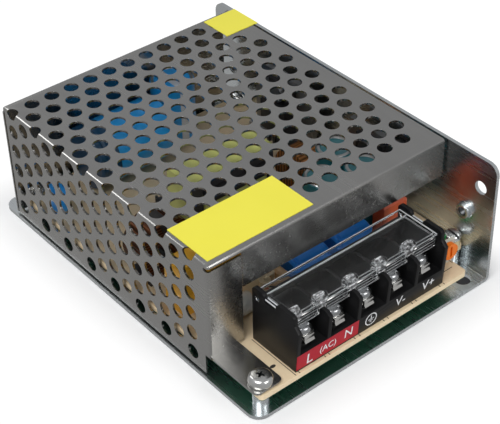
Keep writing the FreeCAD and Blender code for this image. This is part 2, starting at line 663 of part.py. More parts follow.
def cover_blank():
    """Folded cover before its holes are punched."""
    body = new_body("cover_blank")
    section = new_sketch(body, "section", "XZ_Plane", f"-{FRONT}")
    outline(section, [
        (SIDE, SKIRT),
        (SIDE, ROOF),
        (ROOF_EDGE, ROOF),
        (ROOF_EDGE, ROOF_UNDER),
        (SIDE_INSIDE, ROOF_UNDER),
        (SIDE_INSIDE, SKIRT),
    ])
    pad(body, "sheet", section, f"{REAR} - {FRONT}", backward=True)
    toe = new_sketch(body, "toe", "YZ_Plane", SIDE)
    toe_rear = f"({FRONT} + dim.side_toe_setback)"
    rectangle(toe, (f"({FRONT} - dim.cover_sheet)", toe_rear), ("0", BOARD))
    pocket(body, "toe_cut", toe, "dim.cover_sheet * 2", forward=True)
    relief = new_sketch(body, "relief", "YZ_Plane", SIDE)
    flange_top = f"({ROOF_UNDER} - dim.seam_slot)"
    relief_y = (f"({FRONT} - dim.cover_sheet)", f"({FRONT} + dim.corner_relief)")
    rectangle(relief, relief_y, (flange_top, ROOF_UNDER))
    pocket(body, "relief_cut", relief, "dim.cover_sheet * 2", forward=True)
    seam = new_sketch(body, "seam", "YZ_Plane", SIDE)
    rectangle(seam, (f"({REAR_INSIDE} - dim.rear_seam)", f"({REAR} + dim.cover_sheet)"), ("0", ROOF_UNDER))
    pocket(body, "seam_cut", seam, "dim.cover_sheet * 2", forward=True)

    roof_flange = new_sketch(body, "roof_flange", "XZ_Plane", f"-{FRONT}")
    start = f"({SIDE} + dim.front_flange_start)"
    rectangle(roof_flange, (start, ROOF_EDGE), (f"({ROOF} - dim.front_flange_drop)", ROOF))
    pad(body, "front_flange", roof_flange, "dim.cover_sheet", backward=True)
    side_flange = new_sketch(body, "side_flange", "XZ_Plane", f"-{FRONT}")
    rectangle(side_flange, (SIDE, f"({SIDE} + dim.left_flange_width)"), (BOARD, flange_top))
    pad(body, "left_flange", side_flange, "dim.cover_sheet", backward=True)
    tab = new_sketch(body, "tab", "XY_Plane", BOARD)
    tab_front = f"({FRONT} - dim.tab_length)"
    tab_right = f"({SIDE} + dim.tab_width)"
    rectangle(tab, (SIDE, tab_right), (tab_front, FRONT_INSIDE))
    pad(body, "screw_tab", tab, "dim.cover_sheet")
    rear = new_sketch(body, "rear", "XZ_Plane", f"-{REAR}")
    rectangle(rear, (SIDE, f"({ROOF_EDGE} - dim.rear_flange_clear)"), (SKIRT, ROOF))
    pad(body, "rear_flange", rear, "dim.cover_sheet")

    shape = body.Tip.Shape
    folds = edges_at(shape, x=SIDE, z=ROOF)
    folds += edges_at(shape, y=FRONT, z=ROOF)
    folds += edges_at(shape, y=REAR, z=ROOF)
    fillet(body, "roof_folds", folds, "dim.cover_bend")
    levels = (number(TAB_TOP), number(flange_top))
    corner = edges_at(body.Tip.Shape, x=SIDE, y=FRONT, within=lambda point: levels[0] < point.z < levels[1])
    fillet(body, "corner_fold", corner, "dim.cover_bend")
    tab_ends = edges_at(body.Tip.Shape, x=tab_right, y=tab_front)
    tab_ends += edges_at(body.Tip.Shape, x=SIDE, y=tab_front)
    fillet(body, "tab_corners", tab_ends, "dim.tab_corner")
    hole = new_sketch(body, "tab_hole", "XY_Plane", BOARD)
    circle(hole, COVER_SCREW, "dim.board_hole_dia")
    pocket(body, "tab_bore", hole, "dim.cover_sheet", forward=True)
    return body


def punch(centre, normal, across):
    """Eight-sided cutter with the area of a round hole.

    Across is its direction in the sheet, shorter than one where the hole is seen aslant.
    """
    along = normal.cross(across)
    along.normalize()
    radius = number("dim.hole_dia") / 2 * math.sqrt(math.pi / (2 * math.sqrt(2)))
    depth = 3 * number("dim.cover_sheet")
    corners = []
    for step in range(HOLE_SIDES):
        angle = (step + 0.5) * 2 * math.pi / HOLE_SIDES
        rim = across * math.cos(angle) + along * math.sin(angle)
        corners.append(centre - normal * (depth / 2) + rim * radius)
    face = Part.Face(Part.makePolygon([*corners, corners[0]]))
    return face.extrude(normal * depth)


def hole_lattice():
    """Cutters of the hexagonal lattice, which runs unbroken over the roof, the fold and the side."""
    pitch = number("dim.hole_pitch")
    roof = number(ROOF)
    side = number(SIDE)
    last = number(f"{ROOF_EDGE} - dim.first_hole_inset + dim.hole_pitch")
    first_side = roof - number("dim.side_first_drop")
    diagonal = Vector(-1, 0, 1).normalize()
    cutters = []
    for row in range(ROWS):
        along = number(f"{FRONT} + dim.first_row_setback + {row} * dim.row_pitch")
        even = row % 2 == 0
        stagger = pitch / 2 if even else 0
        for index in range(ROOF_HOLES - even):
            across = last - stagger - index * pitch
            cutters.append(punch(Vector(across, along, roof), Vector(0, 0, 1), X_AXIS))
        for index in range(SIDE_HOLES):
            level = first_side - stagger - index * pitch
            cutters.append(punch(Vector(side, along, level), X_AXIS, Y_AXIS))
        if even:
            narrowed = Vector(1, 0, 1) * FOLD_WIDTH
            cutters.append(punch(Vector(side, along, roof) - diagonal * FOLD_SINK, diagonal, narrowed))
    lattice = doc.addObject("Part::Feature", "hole_lattice")
    lattice.Shape = Part.makeCompound(cutters)
    return lattice


def perforated_cover():
    """Folded cover with its lattice of ventilation holes."""
    cover = cut("perforated_cover", cover_blank(), hole_lattice())
    cover.Refine = False
    return cover


# Circuit board, its standoffs and screws

def circuit_board():
    """Board with an ear at the right for its front screw."""
    body = new_body("circuit_board")
    sketch = new_sketch(body, "edge", "XY_Plane", BOARD_UNDER)
    ear_left = f"({BOARD_RIGHT} - dim.board_ear_width)"
    outline(sketch, [
        (BOARD_LEFT, BOARD_FRONT),
        (ear_left, BOARD_FRONT),
        (ear_left, EAR_FRONT),
        (BOARD_RIGHT, EAR_FRONT),
        (BOARD_RIGHT, BOARD_REAR),
        (BOARD_LEFT, BOARD_REAR),
    ])
    pad(body, "sheet", sketch, "dim.board_thickness")
    corners = [(BOARD_LEFT, BOARD_FRONT), (ear_left, BOARD_FRONT), (BOARD_RIGHT, EAR_FRONT)]
    corners += [(BOARD_RIGHT, BOARD_REAR), (BOARD_LEFT, BOARD_REAR)]
    edges = []
    for across, along in corners:
        edges += edges_at(body.Tip.Shape, x=across, y=along)
    fillet(body, "corners", edges, "dim.board_corner")
    holes = new_sketch(body, "holes", "XY_Plane", BOARD)
    for place in (COVER_SCREW, *BOARD_SCREWS):
        circle(holes, place, "dim.board_hole_dia")
    pocket(body, "screw_holes", holes, "dim.board_thickness")
    return body


def board_standoffs():
    """Four tapped pillars between the floor and the board."""
    pillars = []
    for index, (across, along) in enumerate((COVER_SCREW, *BOARD_SCREWS)):
        start = (across, along, "dim.base_sheet")
        pillar = rod(f"pillar_{index}", "z", start, "dim.standoff_dia", "dim.standoff_height")
        bore_dia = "(dim.screw_dia + dim.thread_clear)"
        bore = rod(f"pillar_bore_{index}", "z", start, bore_dia, "dim.standoff_height")
        pillars.append(cut(f"tapped_pillar_{index}", pillar, bore))
    return group("board_standoffs", pillars)


# Shares of a pan head: the round of its height, half a recess wing's length and width of its diameter
PAN_ROUND = 0.55
WING_LENGTH = 0.3
WING_WIDTH = 0.08


def cross_screw(label, head_dia, head_height, shank_dia, shank_length, slot_depth):
    """Pan-head screw with a cross recess, its head seated on the local XY plane."""
    body = new_body(label)
    head = new_sketch(body, "head_outline", "XY_Plane")
    circle(head, ("0", "0"), head_dia)
    pad(body, "head", head, head_height)
    fillet(body, "pan", edges_at(body.Tip.Shape, z=head_height), f"{head_height} * {PAN_ROUND}")
    shank = new_sketch(body, "shank_outline", "XY_Plane")
    circle(shank, ("0", "0"), shank_dia)
    pad(body, "shank", shank, shank_length, backward=True)
    for name, turned in (("slot", False), ("cross_slot", True)):
        recess = new_sketch(body, f"{name}_outline", "XY_Plane", head_height)
        long_side = (f"(-{head_dia} * {WING_LENGTH})", f"({head_dia} * {WING_LENGTH})")
        short_side = (f"(-{head_dia} * {WING_WIDTH})", f"({head_dia} * {WING_WIDTH})")
        rectangle(recess, short_side if turned else long_side, long_side if turned else short_side)
        pocket(body, name, recess, slot_depth)
    return body


def cover_screw():
    """Cross-head screw that holds the cover's tab and the board."""
    reach = f"({TAB_TOP} - dim.base_sheet)"
    body = cross_screw(
        "cover_screw",
        "dim.cover_head_dia",
        "dim.cover_head_height",
        "dim.screw_dia",
        reach,
        "dim.cover_recess",
    )
    place_at(body, (*COVER_SCREW, TAB_TOP))
    return body


def place_at(item, place):
    """Put an object at three expressions."""
    for axis, expression in zip("xyz", place):
        item.setExpression(f"Placement.Base.{axis}", expression)


def board_screws():
    """Slotted screws at the other three board holes, each on its washers."""
    screws = []
    for index, (across, along) in enumerate(BOARD_SCREWS):
        seat = f"({BOARD} + dim.washer_height)"
        head_start = (across, along, seat)
        head = rod(f"board_head_{index}", "z", head_start, "dim.board_head_dia", "dim.board_head_height")
        shank_start = (across, along, "dim.base_sheet")
        reach = f"({seat} - dim.base_sheet)"
        shank = rod(f"board_shank_{index}", "z", shank_start, "dim.screw_dia", reach)
        top = f"({seat} + dim.board_head_height)"
        slot = block(
            f"board_slot_{index}",
            centred(across, "dim.board_slot_width"),
            centred(along, "dim.board_head_dia"),
            (f"({top} - dim.board_slot_depth)", f"({top} + dim.cutter_reach)"),
        )
        blank = join(f"board_screw_blank_{index}", [head, shank])
        screws.append(cut(f"board_screw_{index}", blank, slot))
    return group("board_screws", screws)


def screw_washers():
    """Washers between the board and the slotted screws."""
    rings = []
    for index, (across, along) in enumerate(BOARD_SCREWS):
        start = (across, along, BOARD)
        ring = rod(f"washer_{index}", "z", start, "dim.board_head_dia", "dim.washer_height")
        bore_dia = "(dim.screw_dia + dim.washer_clear)"
        bore = rod(f"washer_bore_{index}", "z", start, bore_dia, "dim.washer_height")
        rings.append(cut(f"drilled_washer_{index}", ring, bore))
    return group("screw_washers", rings)


# Terminal block, contacts, clamps and screws

def lean(height):
    """Expression of the slanted block front at a height above the board."""
    return f"({BLOCK_FRONT} - dim.block_lean * {height} / dim.step_height)"


def above_board(height):
    """Expression of a level above the board."""
    return f"({BOARD} + {height})"


def terminal_block():
    """Moulded block: deck and rear wall, four inner barriers, two lobed end walls."""
    body = new_body("terminal_block")
    deck = new_sketch(body, "deck_section", "YZ_Plane", BLOCK_LEFT)
    back = f"({BLOCK_REAR} - dim.back_thick)"
    outline(deck, [
        (BLOCK_REAR, BOARD),
        (BLOCK_REAR, above_board("dim.back_height")),
        (back, above_board("dim.back_height")),
        (back, DECK),
        (lean("dim.deck_height"), DECK),
        (BLOCK_FRONT, BOARD),
    ])
    pad(body, "deck", deck, BLOCK_SPAN)

    inner = new_sketch(body, "barrier_section", "YZ_Plane", shifted(BLOCK_LEFT, "dim.pole_pitch"))
    step = lean("dim.step_height")
    outline(inner, [
        (BLOCK_REAR, BOARD),
        (BLOCK_REAR, above_board("dim.back_height")),
        (back, above_board("dim.back_height")),
        (f"({back} - dim.back_thick)", above_board("dim.barrier_height")),
        (shifted(BLOCK_FRONT, "dim.shoulder_setback"), above_board("dim.barrier_height")),
        (step, above_board("dim.step_height")),
        (BLOCK_FRONT, BOARD),
    ])
    barrier = pad(body, "barrier", inner, "dim.barrier")
    across = new_sketch(body, "across", "XY_Plane")
    circle(across, ("dim.block_offset", SCREW_Y), "(dim.contact_boss_dia + dim.well_clear)")
    pattern(body, "barriers", barrier, across, "dim.pole_pitch", POLES - 1)

    end = new_sketch(body, "end_section", "YZ_Plane", BLOCK_LEFT)
    rear_lobe = f"({BLOCK_REAR} - dim.rear_lobe)"
    notch = f"({rear_lobe} - dim.finger_notch)"
    brow = shifted(BLOCK_FRONT, "dim.shoulder_setback")
    outline(end, [
        (BLOCK_REAR, BOARD),
        (BLOCK_REAR, above_board("dim.lobe_height")),
        (rear_lobe, above_board("dim.lobe_height")),
        (rear_lobe, above_board("dim.notch_height")),
        (notch, above_board("dim.notch_height")),
        (notch, above_board("dim.lobe_height")),
        (brow, above_board("dim.lobe_height")),
        (brow, above_board("dim.shoulder_height")),
        (step, above_board("dim.step_height")),
        (BLOCK_FRONT, BOARD),
    ])
    wall = pad(body, "end_wall", end, "dim.barrier")
    pattern(body, "end_walls", wall, across, f"({BLOCK_SPAN} - dim.barrier)", 2)
    tops = edges_at(
        body.Tip.Shape,
        z=above_board("dim.lobe_height"),
        within=lambda point: near_any(point.y, (BLOCK_REAR, rear_lobe, notch, brow)),
    )
    fillet(body, "lobes", tops, "dim.lobe_round")

    wells = new_sketch(body, "wells", "XY_Plane", DECK)
    circle(wells, (pole_x(0), SCREW_Y), "(dim.contact_boss_dia + dim.well_clear)")
    well = pocket(body, "well", wells, "dim.well_depth")
    pattern(body, "well_row", well, wells, "dim.pole_pitch", POLES)
    hinge = new_sketch(body, "hinge_holes", "YZ_Plane", "dim.block_offset")
    circle(hinge, (HINGE_Y, HINGE_Z), "(dim.hinge_pin_dia + 2 * dim.hinge_clear)")
    pocket(body, "hinge_hole", hinge)
    return body


def terminal_contacts():
    """Tapped contact plates on the deck, one to a pole."""
    contacts = []
    for index in range(POLES):
        middle = pole_x(index)
        rear = f"({BLOCK_REAR} - dim.back_thick - dim.contact_gap)"
        plate = block(
            f"contact_plate_{index}",
            centred(middle, "dim.contact_width"),
            (f"({rear} - dim.contact_length)", rear),
            (DECK, CONTACT_TOP),
        )
        boss_base = f"({DECK} - dim.contact_boss_depth)"
        height = "(dim.contact_boss_depth + dim.contact_thick)"
        start = (middle, SCREW_Y, boss_base)
        boss = rod(f"contact_boss_{index}", "z", start, "dim.contact_boss_dia", height)
        bore_dia = "(dim.terminal_screw_dia + 2 * dim.screw_run)"
        bore = rod(f"contact_bore_{index}", "z", start, bore_dia, height)
        blank = join(f"contact_blank_{index}", [plate, boss])
        contacts.append(cut(f"contact_{index}", blank, bore))
    return group("terminal_contacts", contacts)


# Corners of a clamp's grooved tip as shares of its thickness, from the top down
GROOVE_SHARES = (1, 0.72, 0.66, 0.4, 0.34, 0)


def clamp_plate(index):
    """Wire clamp with a grooved tongue at its front, bored for its screw."""
    body = new_body(f"clamp_plate_{index + 1}")
    plate = new_sketch(body, "plate_outline", "XY_Plane")
    rectangle(plate, centred("0", "dim.clamp_width"), ("(-dim.clamp_front)", "dim.clamp_back"))
    pad(body, "plate", plate, "dim.clamp_thick")
    section = new_sketch(body, "tongue_section", "YZ_Plane")
    tip = "(-dim.tongue_reach)"
    groove = "(dim.clamp_ridge - dim.tongue_reach)"
    tips = (tip, tip, groove, groove, tip, tip)
    profile = [(place, f"(dim.clamp_thick * {share})") for place, share in zip(tips, GROOVE_SHARES)]
    outline(section, [("0", "0"), ("0", "dim.clamp_thick"), *profile])
    pad(body, "tongue", section, "dim.tongue_width", both=True)
    hole = new_sketch(body, "hole", "XY_Plane", "dim.clamp_thick")
    circle(hole, ("0", "0"), "(dim.terminal_screw_dia + 2 * dim.screw_run)")
    pocket(body, "bore", hole, "dim.clamp_thick")
    place_at(body, (pole_x(index), SCREW_Y, CONTACT_TOP))
    return body


def terminal_screw(index):
    """Cross-head screw that turns in the contact and draws the clamp down."""
    body = cross_screw(
        f"terminal_screw_{index + 1}",
        "dim.terminal_head_dia",
        "dim.terminal_head_height",
        "dim.terminal_screw_dia",
        "(dim.clamp_thick + dim.contact_thick + dim.contact_boss_depth)",
        "dim.terminal_recess",
    )
    place_at(body, (pole_x(index), SCREW_Y, CLAMP_TOP))
    return body


def terminal_lid():
    """Clear hinged lid with raised rims, a slotted front lip and finger lugs over the barriers."""
    body = new_body("terminal_lid")
    plate = new_sketch(body, "plate_outline", "XY_Plane", LID_UNDER)
    rectangle(plate, (LID_LEFT, LID_RIGHT), (LID_FRONT, LID_REAR))
    pad(body, "plate", plate, "dim.lid_thick")
    bar = new_sketch(body, "bar_outline", "XY_Plane", LID_TOP)
    rectangle(bar, (LID_LEFT, LID_RIGHT), (f"({LID_REAR} - dim.lid_bar)", LID_REAR))
    pad(body, "hinge_bar", bar, "dim.lid_bar_rise")
    rims = new_sketch(body, "rim_outline", "XY_Plane", LID_TOP)
    rectangle(rims, (LID_LEFT, shifted(LID_LEFT, "dim.lid_rim")), (LID_FRONT, LID_REAR))
    rectangle(rims, (f"({LID_RIGHT} - dim.lid_rim)", LID_RIGHT), (LID_FRONT, LID_REAR))
    pad(body, "rims", rims, "dim.lid_bar_rise")
    lip = new_sketch(body, "lip_outline", "XZ_Plane", f"-{LID_FRONT}")
    rectangle(lip, (LID_LEFT, LID_RIGHT), (f"({LID_TOP} - dim.lid_lip_drop)", LID_TOP))
    pad(body, "lip", lip, "dim.lid_lip", backward=True)

    lugs = new_sketch(body, "lug_outline", "XZ_Plane", f"-{LID_FRONT}")
    first = f"({pole_x(0)} + dim.pole_pitch / 2)"
    lug_z = (f"({LID_TOP} - dim.lid_lip_drop)", shifted(LID_TOP, "dim.lug_rise"))
    rectangle(lugs, centred(first, "dim.lug_width"), lug_z)
    lug = pad(body, "lug", lugs, "dim.lug_depth", backward=True)
    pattern(body, "lug_row", lug, lugs, "dim.pole_pitch", POLES - 1)
    end_lug = new_sketch(body, "end_lug_outline", "XZ_Plane", f"-{LID_FRONT}")
    rectangle(end_lug, (LID_LEFT, shifted(LID_LEFT, "dim.lug_width / 2")), lug_z)
    pad(body, "end_lug", end_lug, "dim.lug_depth", backward=True)
    crowns = edges_at(body.Tip.Shape, z=shifted(LID_TOP, "dim.lug_rise"), within=lies_across)
    fillet(body, "lug_crowns", crowns, "dim.lug_crown")
    slots = new_sketch(body, "slot_outline", "XZ_Plane", f"-{LID_FRONT}")
    slot_top = above_board("dim.barrier_height + dim.lid_slot_rise")
    rectangle(
        slots,
        centred(first, "(dim.barrier + 2 * dim.lid_slot_clear)"),
        (f"({LID_TOP} - dim.lid_lip_drop - dim.cutter_reach)", slot_top),
    )
    slot = pocket(body, "slot", slots, "dim.lug_depth")
    pattern(body, "slot_row", slot, slots, "dim.pole_pitch", POLES - 1)
    for name, side, backward in (("left_pin", LID_LEFT, True), ("right_pin", LID_RIGHT, False)):
        pin = new_sketch(body, f"{name}_outline", "YZ_Plane", side)
        circle(pin, (HINGE_Y, HINGE_Z), "dim.hinge_pin_dia")
        pad(body, name, pin, "(dim.lid_end_gap + dim.hinge_pin_length)", backward=backward)
    return body


def lies_across(point):
    """True for the middle of an edge that runs along X at the lugs' front or back."""
    return near_any(point.y, (LID_FRONT, shifted(LID_FRONT, "dim.lug_depth")))


# Trimmer and lamp at the right of the terminal block

TRIMMER_X = f"({BLOCK_RIGHT} + dim.trimmer_gap + dim.trimmer_width / 2)"
TRIMMER_FRONT = f"({BOARD_FRONT} + dim.trimmer_setback)"
ROTOR_Z = f"({BOARD} + dim.trimmer_height - dim.rotor_dia / 2)"
ROTOR_SEAT = f"({TRIMMER_FRONT} - dim.rotor_gap)"


def trimmer_body():
    """Carrier plate on three legs, bored for the rotor pin."""
    depth = (TRIMMER_FRONT, shifted(TRIMMER_FRONT, "dim.trimmer_plate"))
    legs_top = above_board("dim.leg_height")
    plate = block("trimmer_plate_blank", centred(TRIMMER_X, "dim.trimmer_width"), depth,
                  (legs_top, above_board("dim.trimmer_height")))
    legs = []
    for index, side in enumerate((-1, 1)):
        middle = f"({TRIMMER_X} + {side} * dim.trimmer_leg_side)"
        leg_x = centred(middle, "dim.trimmer_leg")
        legs.append(block(f"trimmer_leg_{index}", leg_x, depth, (BOARD, legs_top)))
    wiper = block("trimmer_wiper", centred(TRIMMER_X, "dim.wiper_leg"), depth, (BOARD, legs_top))
    ahead = f"({TRIMMER_FRONT} - dim.cutter_reach)"
    through = "(dim.trimmer_plate + 2 * dim.cutter_reach)"
    eye_start = (TRIMMER_X, ahead, above_board("dim.wiper_eye_height"))
    eye = rod("trimmer_eye", "y", eye_start, "dim.wiper_eye_dia", through)
    bore_dia = "(dim.rotor_pin_dia + 2 * dim.screw_run)"
    bore = rod("trimmer_bore", "y", (TRIMMER_X, ahead, ROTOR_Z), bore_dia, through)
    solid = join("trimmer_blank", [plate, *legs, wiper])
    return cut("trimmer_body", cut("trimmer_bored", solid, bore), eye)


def trimmer_rotor():
    """Slotted disc with a pin through the carrier plate."""
    face = f"({ROTOR_SEAT} - dim.rotor_thick)"
    disc = rod("rotor_disc", "y", (TRIMMER_X, face, ROTOR_Z), "dim.rotor_dia", "dim.rotor_thick")
    reach = "(dim.rotor_thick + dim.rotor_gap + dim.trimmer_plate)"
    pin = rod("rotor_pin", "y", (TRIMMER_X, face, ROTOR_Z), "dim.rotor_pin_dia", reach)
    slot_y = (f"({face} - dim.cutter_reach)", f"({face} + dim.rotor_slot_depth)")
    slot_z = centred(ROTOR_Z, "dim.rotor_slot_length")
    slot = block("rotor_slot", centred(TRIMMER_X, "dim.rotor_slot_width"), slot_y, slot_z)
    return cut("trimmer_rotor", join("rotor_blank", [disc, pin]), slot)


def power_lamp():
    """Round-topped indicator lamp with its base flange."""
    across = f"({BOARD_RIGHT} - dim.lamp_side)"
    along = f"({EAR_FRONT} + dim.lamp_setback)"
    rim = rod("lamp_rim", "z", (across, along, BOARD), "dim.lamp_rim_dia", "dim.lamp_rim_height")
    barrel_height = "(dim.lamp_height - dim.lamp_dia / 2)"
    barrel = rod("lamp_barrel", "z", (across, along, BOARD), "dim.lamp_dia", barrel_height)
    dome = doc.addObject("Part::Sphere", "lamp_dome")
    dome.setExpression("Radius", "dim.lamp_dia / 2")
    place_at(dome, (across, along, above_board(barrel_height)))
    return join("power_lamp", [rim, barrel, dome])


# Components on the board

# Start of a can's crimp groove as a share of its length
GROOVE_START = 0.08


def can_capacitor(label, diameter, length):
    """Sleeved capacitor can along local Z: crimp groove near the seal, rolled rim and sunken top."""
    body = new_body(label)
    sketch = new_sketch(body, "half_section", "XZ_Plane")
    radius = f"({diameter} / 2)"
    groove = f"({length} * {GROOVE_START})"
    rim = f"({radius} - dim.can_bevel - dim.can_rim)"
    top = f"({length} - dim.can_sink)"
    outline(sketch, [
        ("0", "0"),
        (f"({radius} - dim.can_foot)", "0"),
        (radius, "dim.can_bevel"),
        (radius, groove),
        (f"({radius} - dim.can_groove_depth)", f"({groove} + dim.can_groove_width / 2)"),
        (radius, f"({groove} + dim.can_groove_width)"),
        (radius, f"({length} - dim.can_bevel)"),
        (f"({radius} - dim.can_bevel)", length),
        (rim, length),
        (f"({rim} - dim.can_slope)", top),
        ("0", top),
    ])
    can = body.newObject("PartDesign::Revolution", f"{label}_turn")
    can.Profile = sketch
    can.ReferenceAxis = (sketch, ["V_Axis"])
    can.Angle = 360
    doc.recompute()
    return body


def lay_along_x(item, place):
    """Turn an object's local Z to +X and put it at three expressions."""
    item.Placement.Rotation = TURNS["x"]
    place_at(item, place)


def bulk_capacitor():
    """Mains storage capacitor lying across the rear."""
    can = can_capacitor("bulk_capacitor", "dim.bulk_dia", "dim.bulk_length")
    along = f"({REAR_INSIDE} - dim.rear_clear - dim.bulk_dia / 2)"
    lay_along_x(can, (f"({SIDE_INSIDE} + dim.bulk_start)", along, f"({SEAT} + dim.bulk_dia / 2)"))
    return can


def supply_capacitor():
    """Upright capacitor beside it."""
    can = can_capacitor("supply_capacitor", "dim.supply_dia", "dim.supply_height")
    end = f"({SIDE_INSIDE} + dim.bulk_start + dim.bulk_length)"
    along = f"({REAR_INSIDE} - dim.rear_clear - dim.supply_dia / 2)"
    place_at(can, (f"({end} + dim.neighbour_gap + dim.supply_dia / 2)", along, SEAT))
    return can


def output_capacitors():
    """Upright output capacitors in a row beside the front heatsink."""
    cans = []
    first = f"({FRONT} + dim.output_cap_setback)"
    column = f"({WALL_INSIDE} - dim.output_cap_side)"
    places = (
        (column, first),
        (column, shifted(first, "dim.output_cap_pitch")),
        (f"({column} - dim.output_cap_pitch)", shifted(first, "dim.output_cap_stagger")),
    )
    for index, place in enumerate(places):
        can = can_capacitor(f"output_can_{index}", "dim.output_cap_dia", "dim.output_cap_height")
        place_at(can, (*place, SEAT))
        cans.append(can)
    return group("output_capacitors", cans)


def front_capacitors():
    """Small capacitors lying behind the front flange."""
    cans = []
    for index in range(2):
        can = can_capacitor(f"front_can_{index}", "dim.front_cap_dia", "dim.front_cap_length")
        start = f"({SIDE_INSIDE} + dim.front_cap_start + {index} * dim.front_cap_pitch)"
        along = f"({FRONT} + dim.front_cap_setback)"
        lay_along_x(can, (start, along, f"({SEAT} + dim.front_cap_dia / 2)"))
        cans.append(can)
    return group("front_capacitors", cans)


CORE_LEFT = f"({SIDE_INSIDE} + dim.core_start)"
CORE_RIGHT = f"({CORE_LEFT} + dim.core_length)"
CORE_FRONT = f"({FRONT} + dim.core_setback)"
CORE_REAR = f"({CORE_FRONT} + dim.core_depth)"
CORE_UNDER = above_board("dim.core_lift")
CORE_TOP = f"({ROOF_UNDER} - dim.core_headroom)"
CORE_X = f"(({CORE_LEFT} + {CORE_RIGHT}) / 2)"
CORE_Y = f"(({CORE_FRONT} + {CORE_REAR}) / 2)"
YOKE = "(dim.core_leg / 2)"
# Hollow of the bobbin round the core's middle leg, along X and along Y
BOBBIN_HOLLOW = (
    centred(CORE_X, "(dim.core_leg + 2 * dim.bobbin_clear)"),
    (f"({CORE_FRONT} - dim.bobbin_clear)", f"({CORE_REAR} + dim.bobbin_clear)"),
)


def transformer_core():
    """Two ferrite E halves closed into one frame with a middle leg."""
    body = new_body("transformer_core")
    frame = new_sketch(body, "frame", "XZ_Plane", f"-{CORE_FRONT}")
    rectangle(frame, (CORE_LEFT, CORE_RIGHT), (CORE_UNDER, CORE_TOP))
    left, right = centred(CORE_X, "dim.core_leg")
    for low, high in ((shifted(CORE_LEFT, YOKE), left), (right, f"({CORE_RIGHT} - {YOKE})")):
        rectangle(frame, (low, high), (shifted(CORE_UNDER, YOKE), f"({CORE_TOP} - {YOKE})"))
    pad(body, "halves", frame, "dim.core_depth", backward=True)
    return body


def winding_ring(label, clear, z):
    """Racetrack sleeve round the middle leg, reaching clear of the windows' outer sides by an amount."""
    outer_x = (f"({CORE_LEFT} + {YOKE} + {clear})", f"({CORE_RIGHT} - {YOKE} - {clear})")
    bulge = f"(dim.winding_bulge - {clear})"
    outer = block(f"{label}_outer", outer_x, (f"({CORE_FRONT} - {bulge})", f"({CORE_REAR} + {bulge})"), z)
    inner = block(f"{label}_inner", *BOBBIN_HOLLOW, z)
    return outer, inner


def transformer_bobbin():
    """Plastic former: upper and lower flange and the pin rails that stand on the board."""
    windows = (
        shifted(CORE_UNDER, f"{YOKE} + dim.bobbin_clear"),
        f"({CORE_TOP} - {YOKE} - dim.bobbin_clear)",
    )
    pieces = []
    cores = []
    for name, z in (
        ("lower_flange", (windows[0], shifted(windows[0], "dim.bobbin_wall"))),
        ("upper_flange", (f"({windows[1]} - dim.bobbin_wall)", windows[1])),
    ):
        outer, inner = winding_ring(name, "dim.bobbin_clear", z)
        pieces.append(outer)
        cores.append(inner)
    sleeve_x = centred(CORE_X, "(dim.core_leg + 2 * dim.bobbin_wall)")
    sleeve_y = (f"({CORE_FRONT} - dim.bobbin_wall)", f"({CORE_REAR} + dim.bobbin_wall)")
    sleeve = block("bobbin_sleeve", sleeve_x, sleeve_y, windows)
    through = block("bobbin_bore", *BOBBIN_HOLLOW, windows)
    rails = []
    for index, (low, high) in enumerate((
        (f"({CORE_FRONT} - dim.winding_bulge)", f"({CORE_FRONT} - dim.rail_gap)"),
        (shifted(CORE_REAR, "dim.rail_gap"), shifted(CORE_REAR, "dim.winding_bulge")),
    )):
        rail_x = (shifted(CORE_LEFT, YOKE), f"({CORE_RIGHT} - {YOKE})")
        rails.append(block(f"pin_rail_{index}", rail_x, (low, high), (BOARD, windows[0])))
    solid = join("bobbin_blank", [*pieces, sleeve, *rails])
    return cut("transformer_bobbin", solid, join("bobbin_core", [*cores, through]))


# An edge whose direction's Z is more than this runs upright
UPRIGHT = 0.9


def transformer_winding():
    """Taped winding between the flanges."""
    flange = "(dim.bobbin_clear + dim.bobbin_wall + dim.winding_gap)"
    low = shifted(CORE_UNDER, f"{YOKE} + {flange}")
    high = f"({CORE_TOP} - {YOKE} - {flange})"
    outer_x = (f"({CORE_LEFT} + {YOKE} + dim.winding_side)", f"({CORE_RIGHT} - {YOKE} - dim.winding_side)")
    bulge = "(dim.winding_bulge - dim.winding_inset)"
    outer_y = (f"({CORE_FRONT} - {bulge})", f"({CORE_REAR} + {bulge})")
    blank = block("winding_blank", outer_x, outer_y, (low, high))
    wall = "(dim.bobbin_wall + dim.winding_gap)"
    former_y = (f"({CORE_FRONT} - {wall})", f"({CORE_REAR} + {wall})")
    former = block("winding_former", centred(CORE_X, f"(dim.core_leg + 2 * {wall})"), former_y, (low, high))
    rounded = doc.addObject("Part::Fillet", "winding_rounded")
    rounded.Base = blank
    doc.recompute()
    radius = number("dim.winding_round")
    upright = []
    for index, edge in enumerate(blank.Shape.Edges, start=1):
        if abs(edge.tangentAt(edge.FirstParameter).z) > UPRIGHT:
            upright.append((index, radius, radius))
    rounded.Edges = upright
    return cut("transformer_winding", rounded, former)


def transformer_tape():
    """Band of tape round the outside of the core."""
    depth = centred(CORE_Y, "(dim.core_depth - 2 * dim.tape_inset)")
    outer_x = (f"({CORE_LEFT} - dim.tape_thick)", shifted(CORE_RIGHT, "dim.tape_thick"))
    outer_z = (f"({CORE_UNDER} - dim.tape_thick)", shifted(CORE_TOP, "dim.tape_thick"))
    outer = block("tape_outer", outer_x, depth, outer_z)
    inner = block("tape_inner", (CORE_LEFT, CORE_RIGHT), depth, (CORE_UNDER, CORE_TOP))
    return cut("transformer_tape", outer, inner)


CHOKE_X = f"({SIDE_INSIDE} + dim.choke_side)"
CHOKE_Y = f"({FRONT} + dim.choke_setback)"
CHOKE_OUTER = "(dim.choke_dia + 2 * dim.choke_winding)"
CHOKE_Z = f"({BOARD} + dim.choke_foot + dim.choke_seat + {CHOKE_OUTER} / 2)"
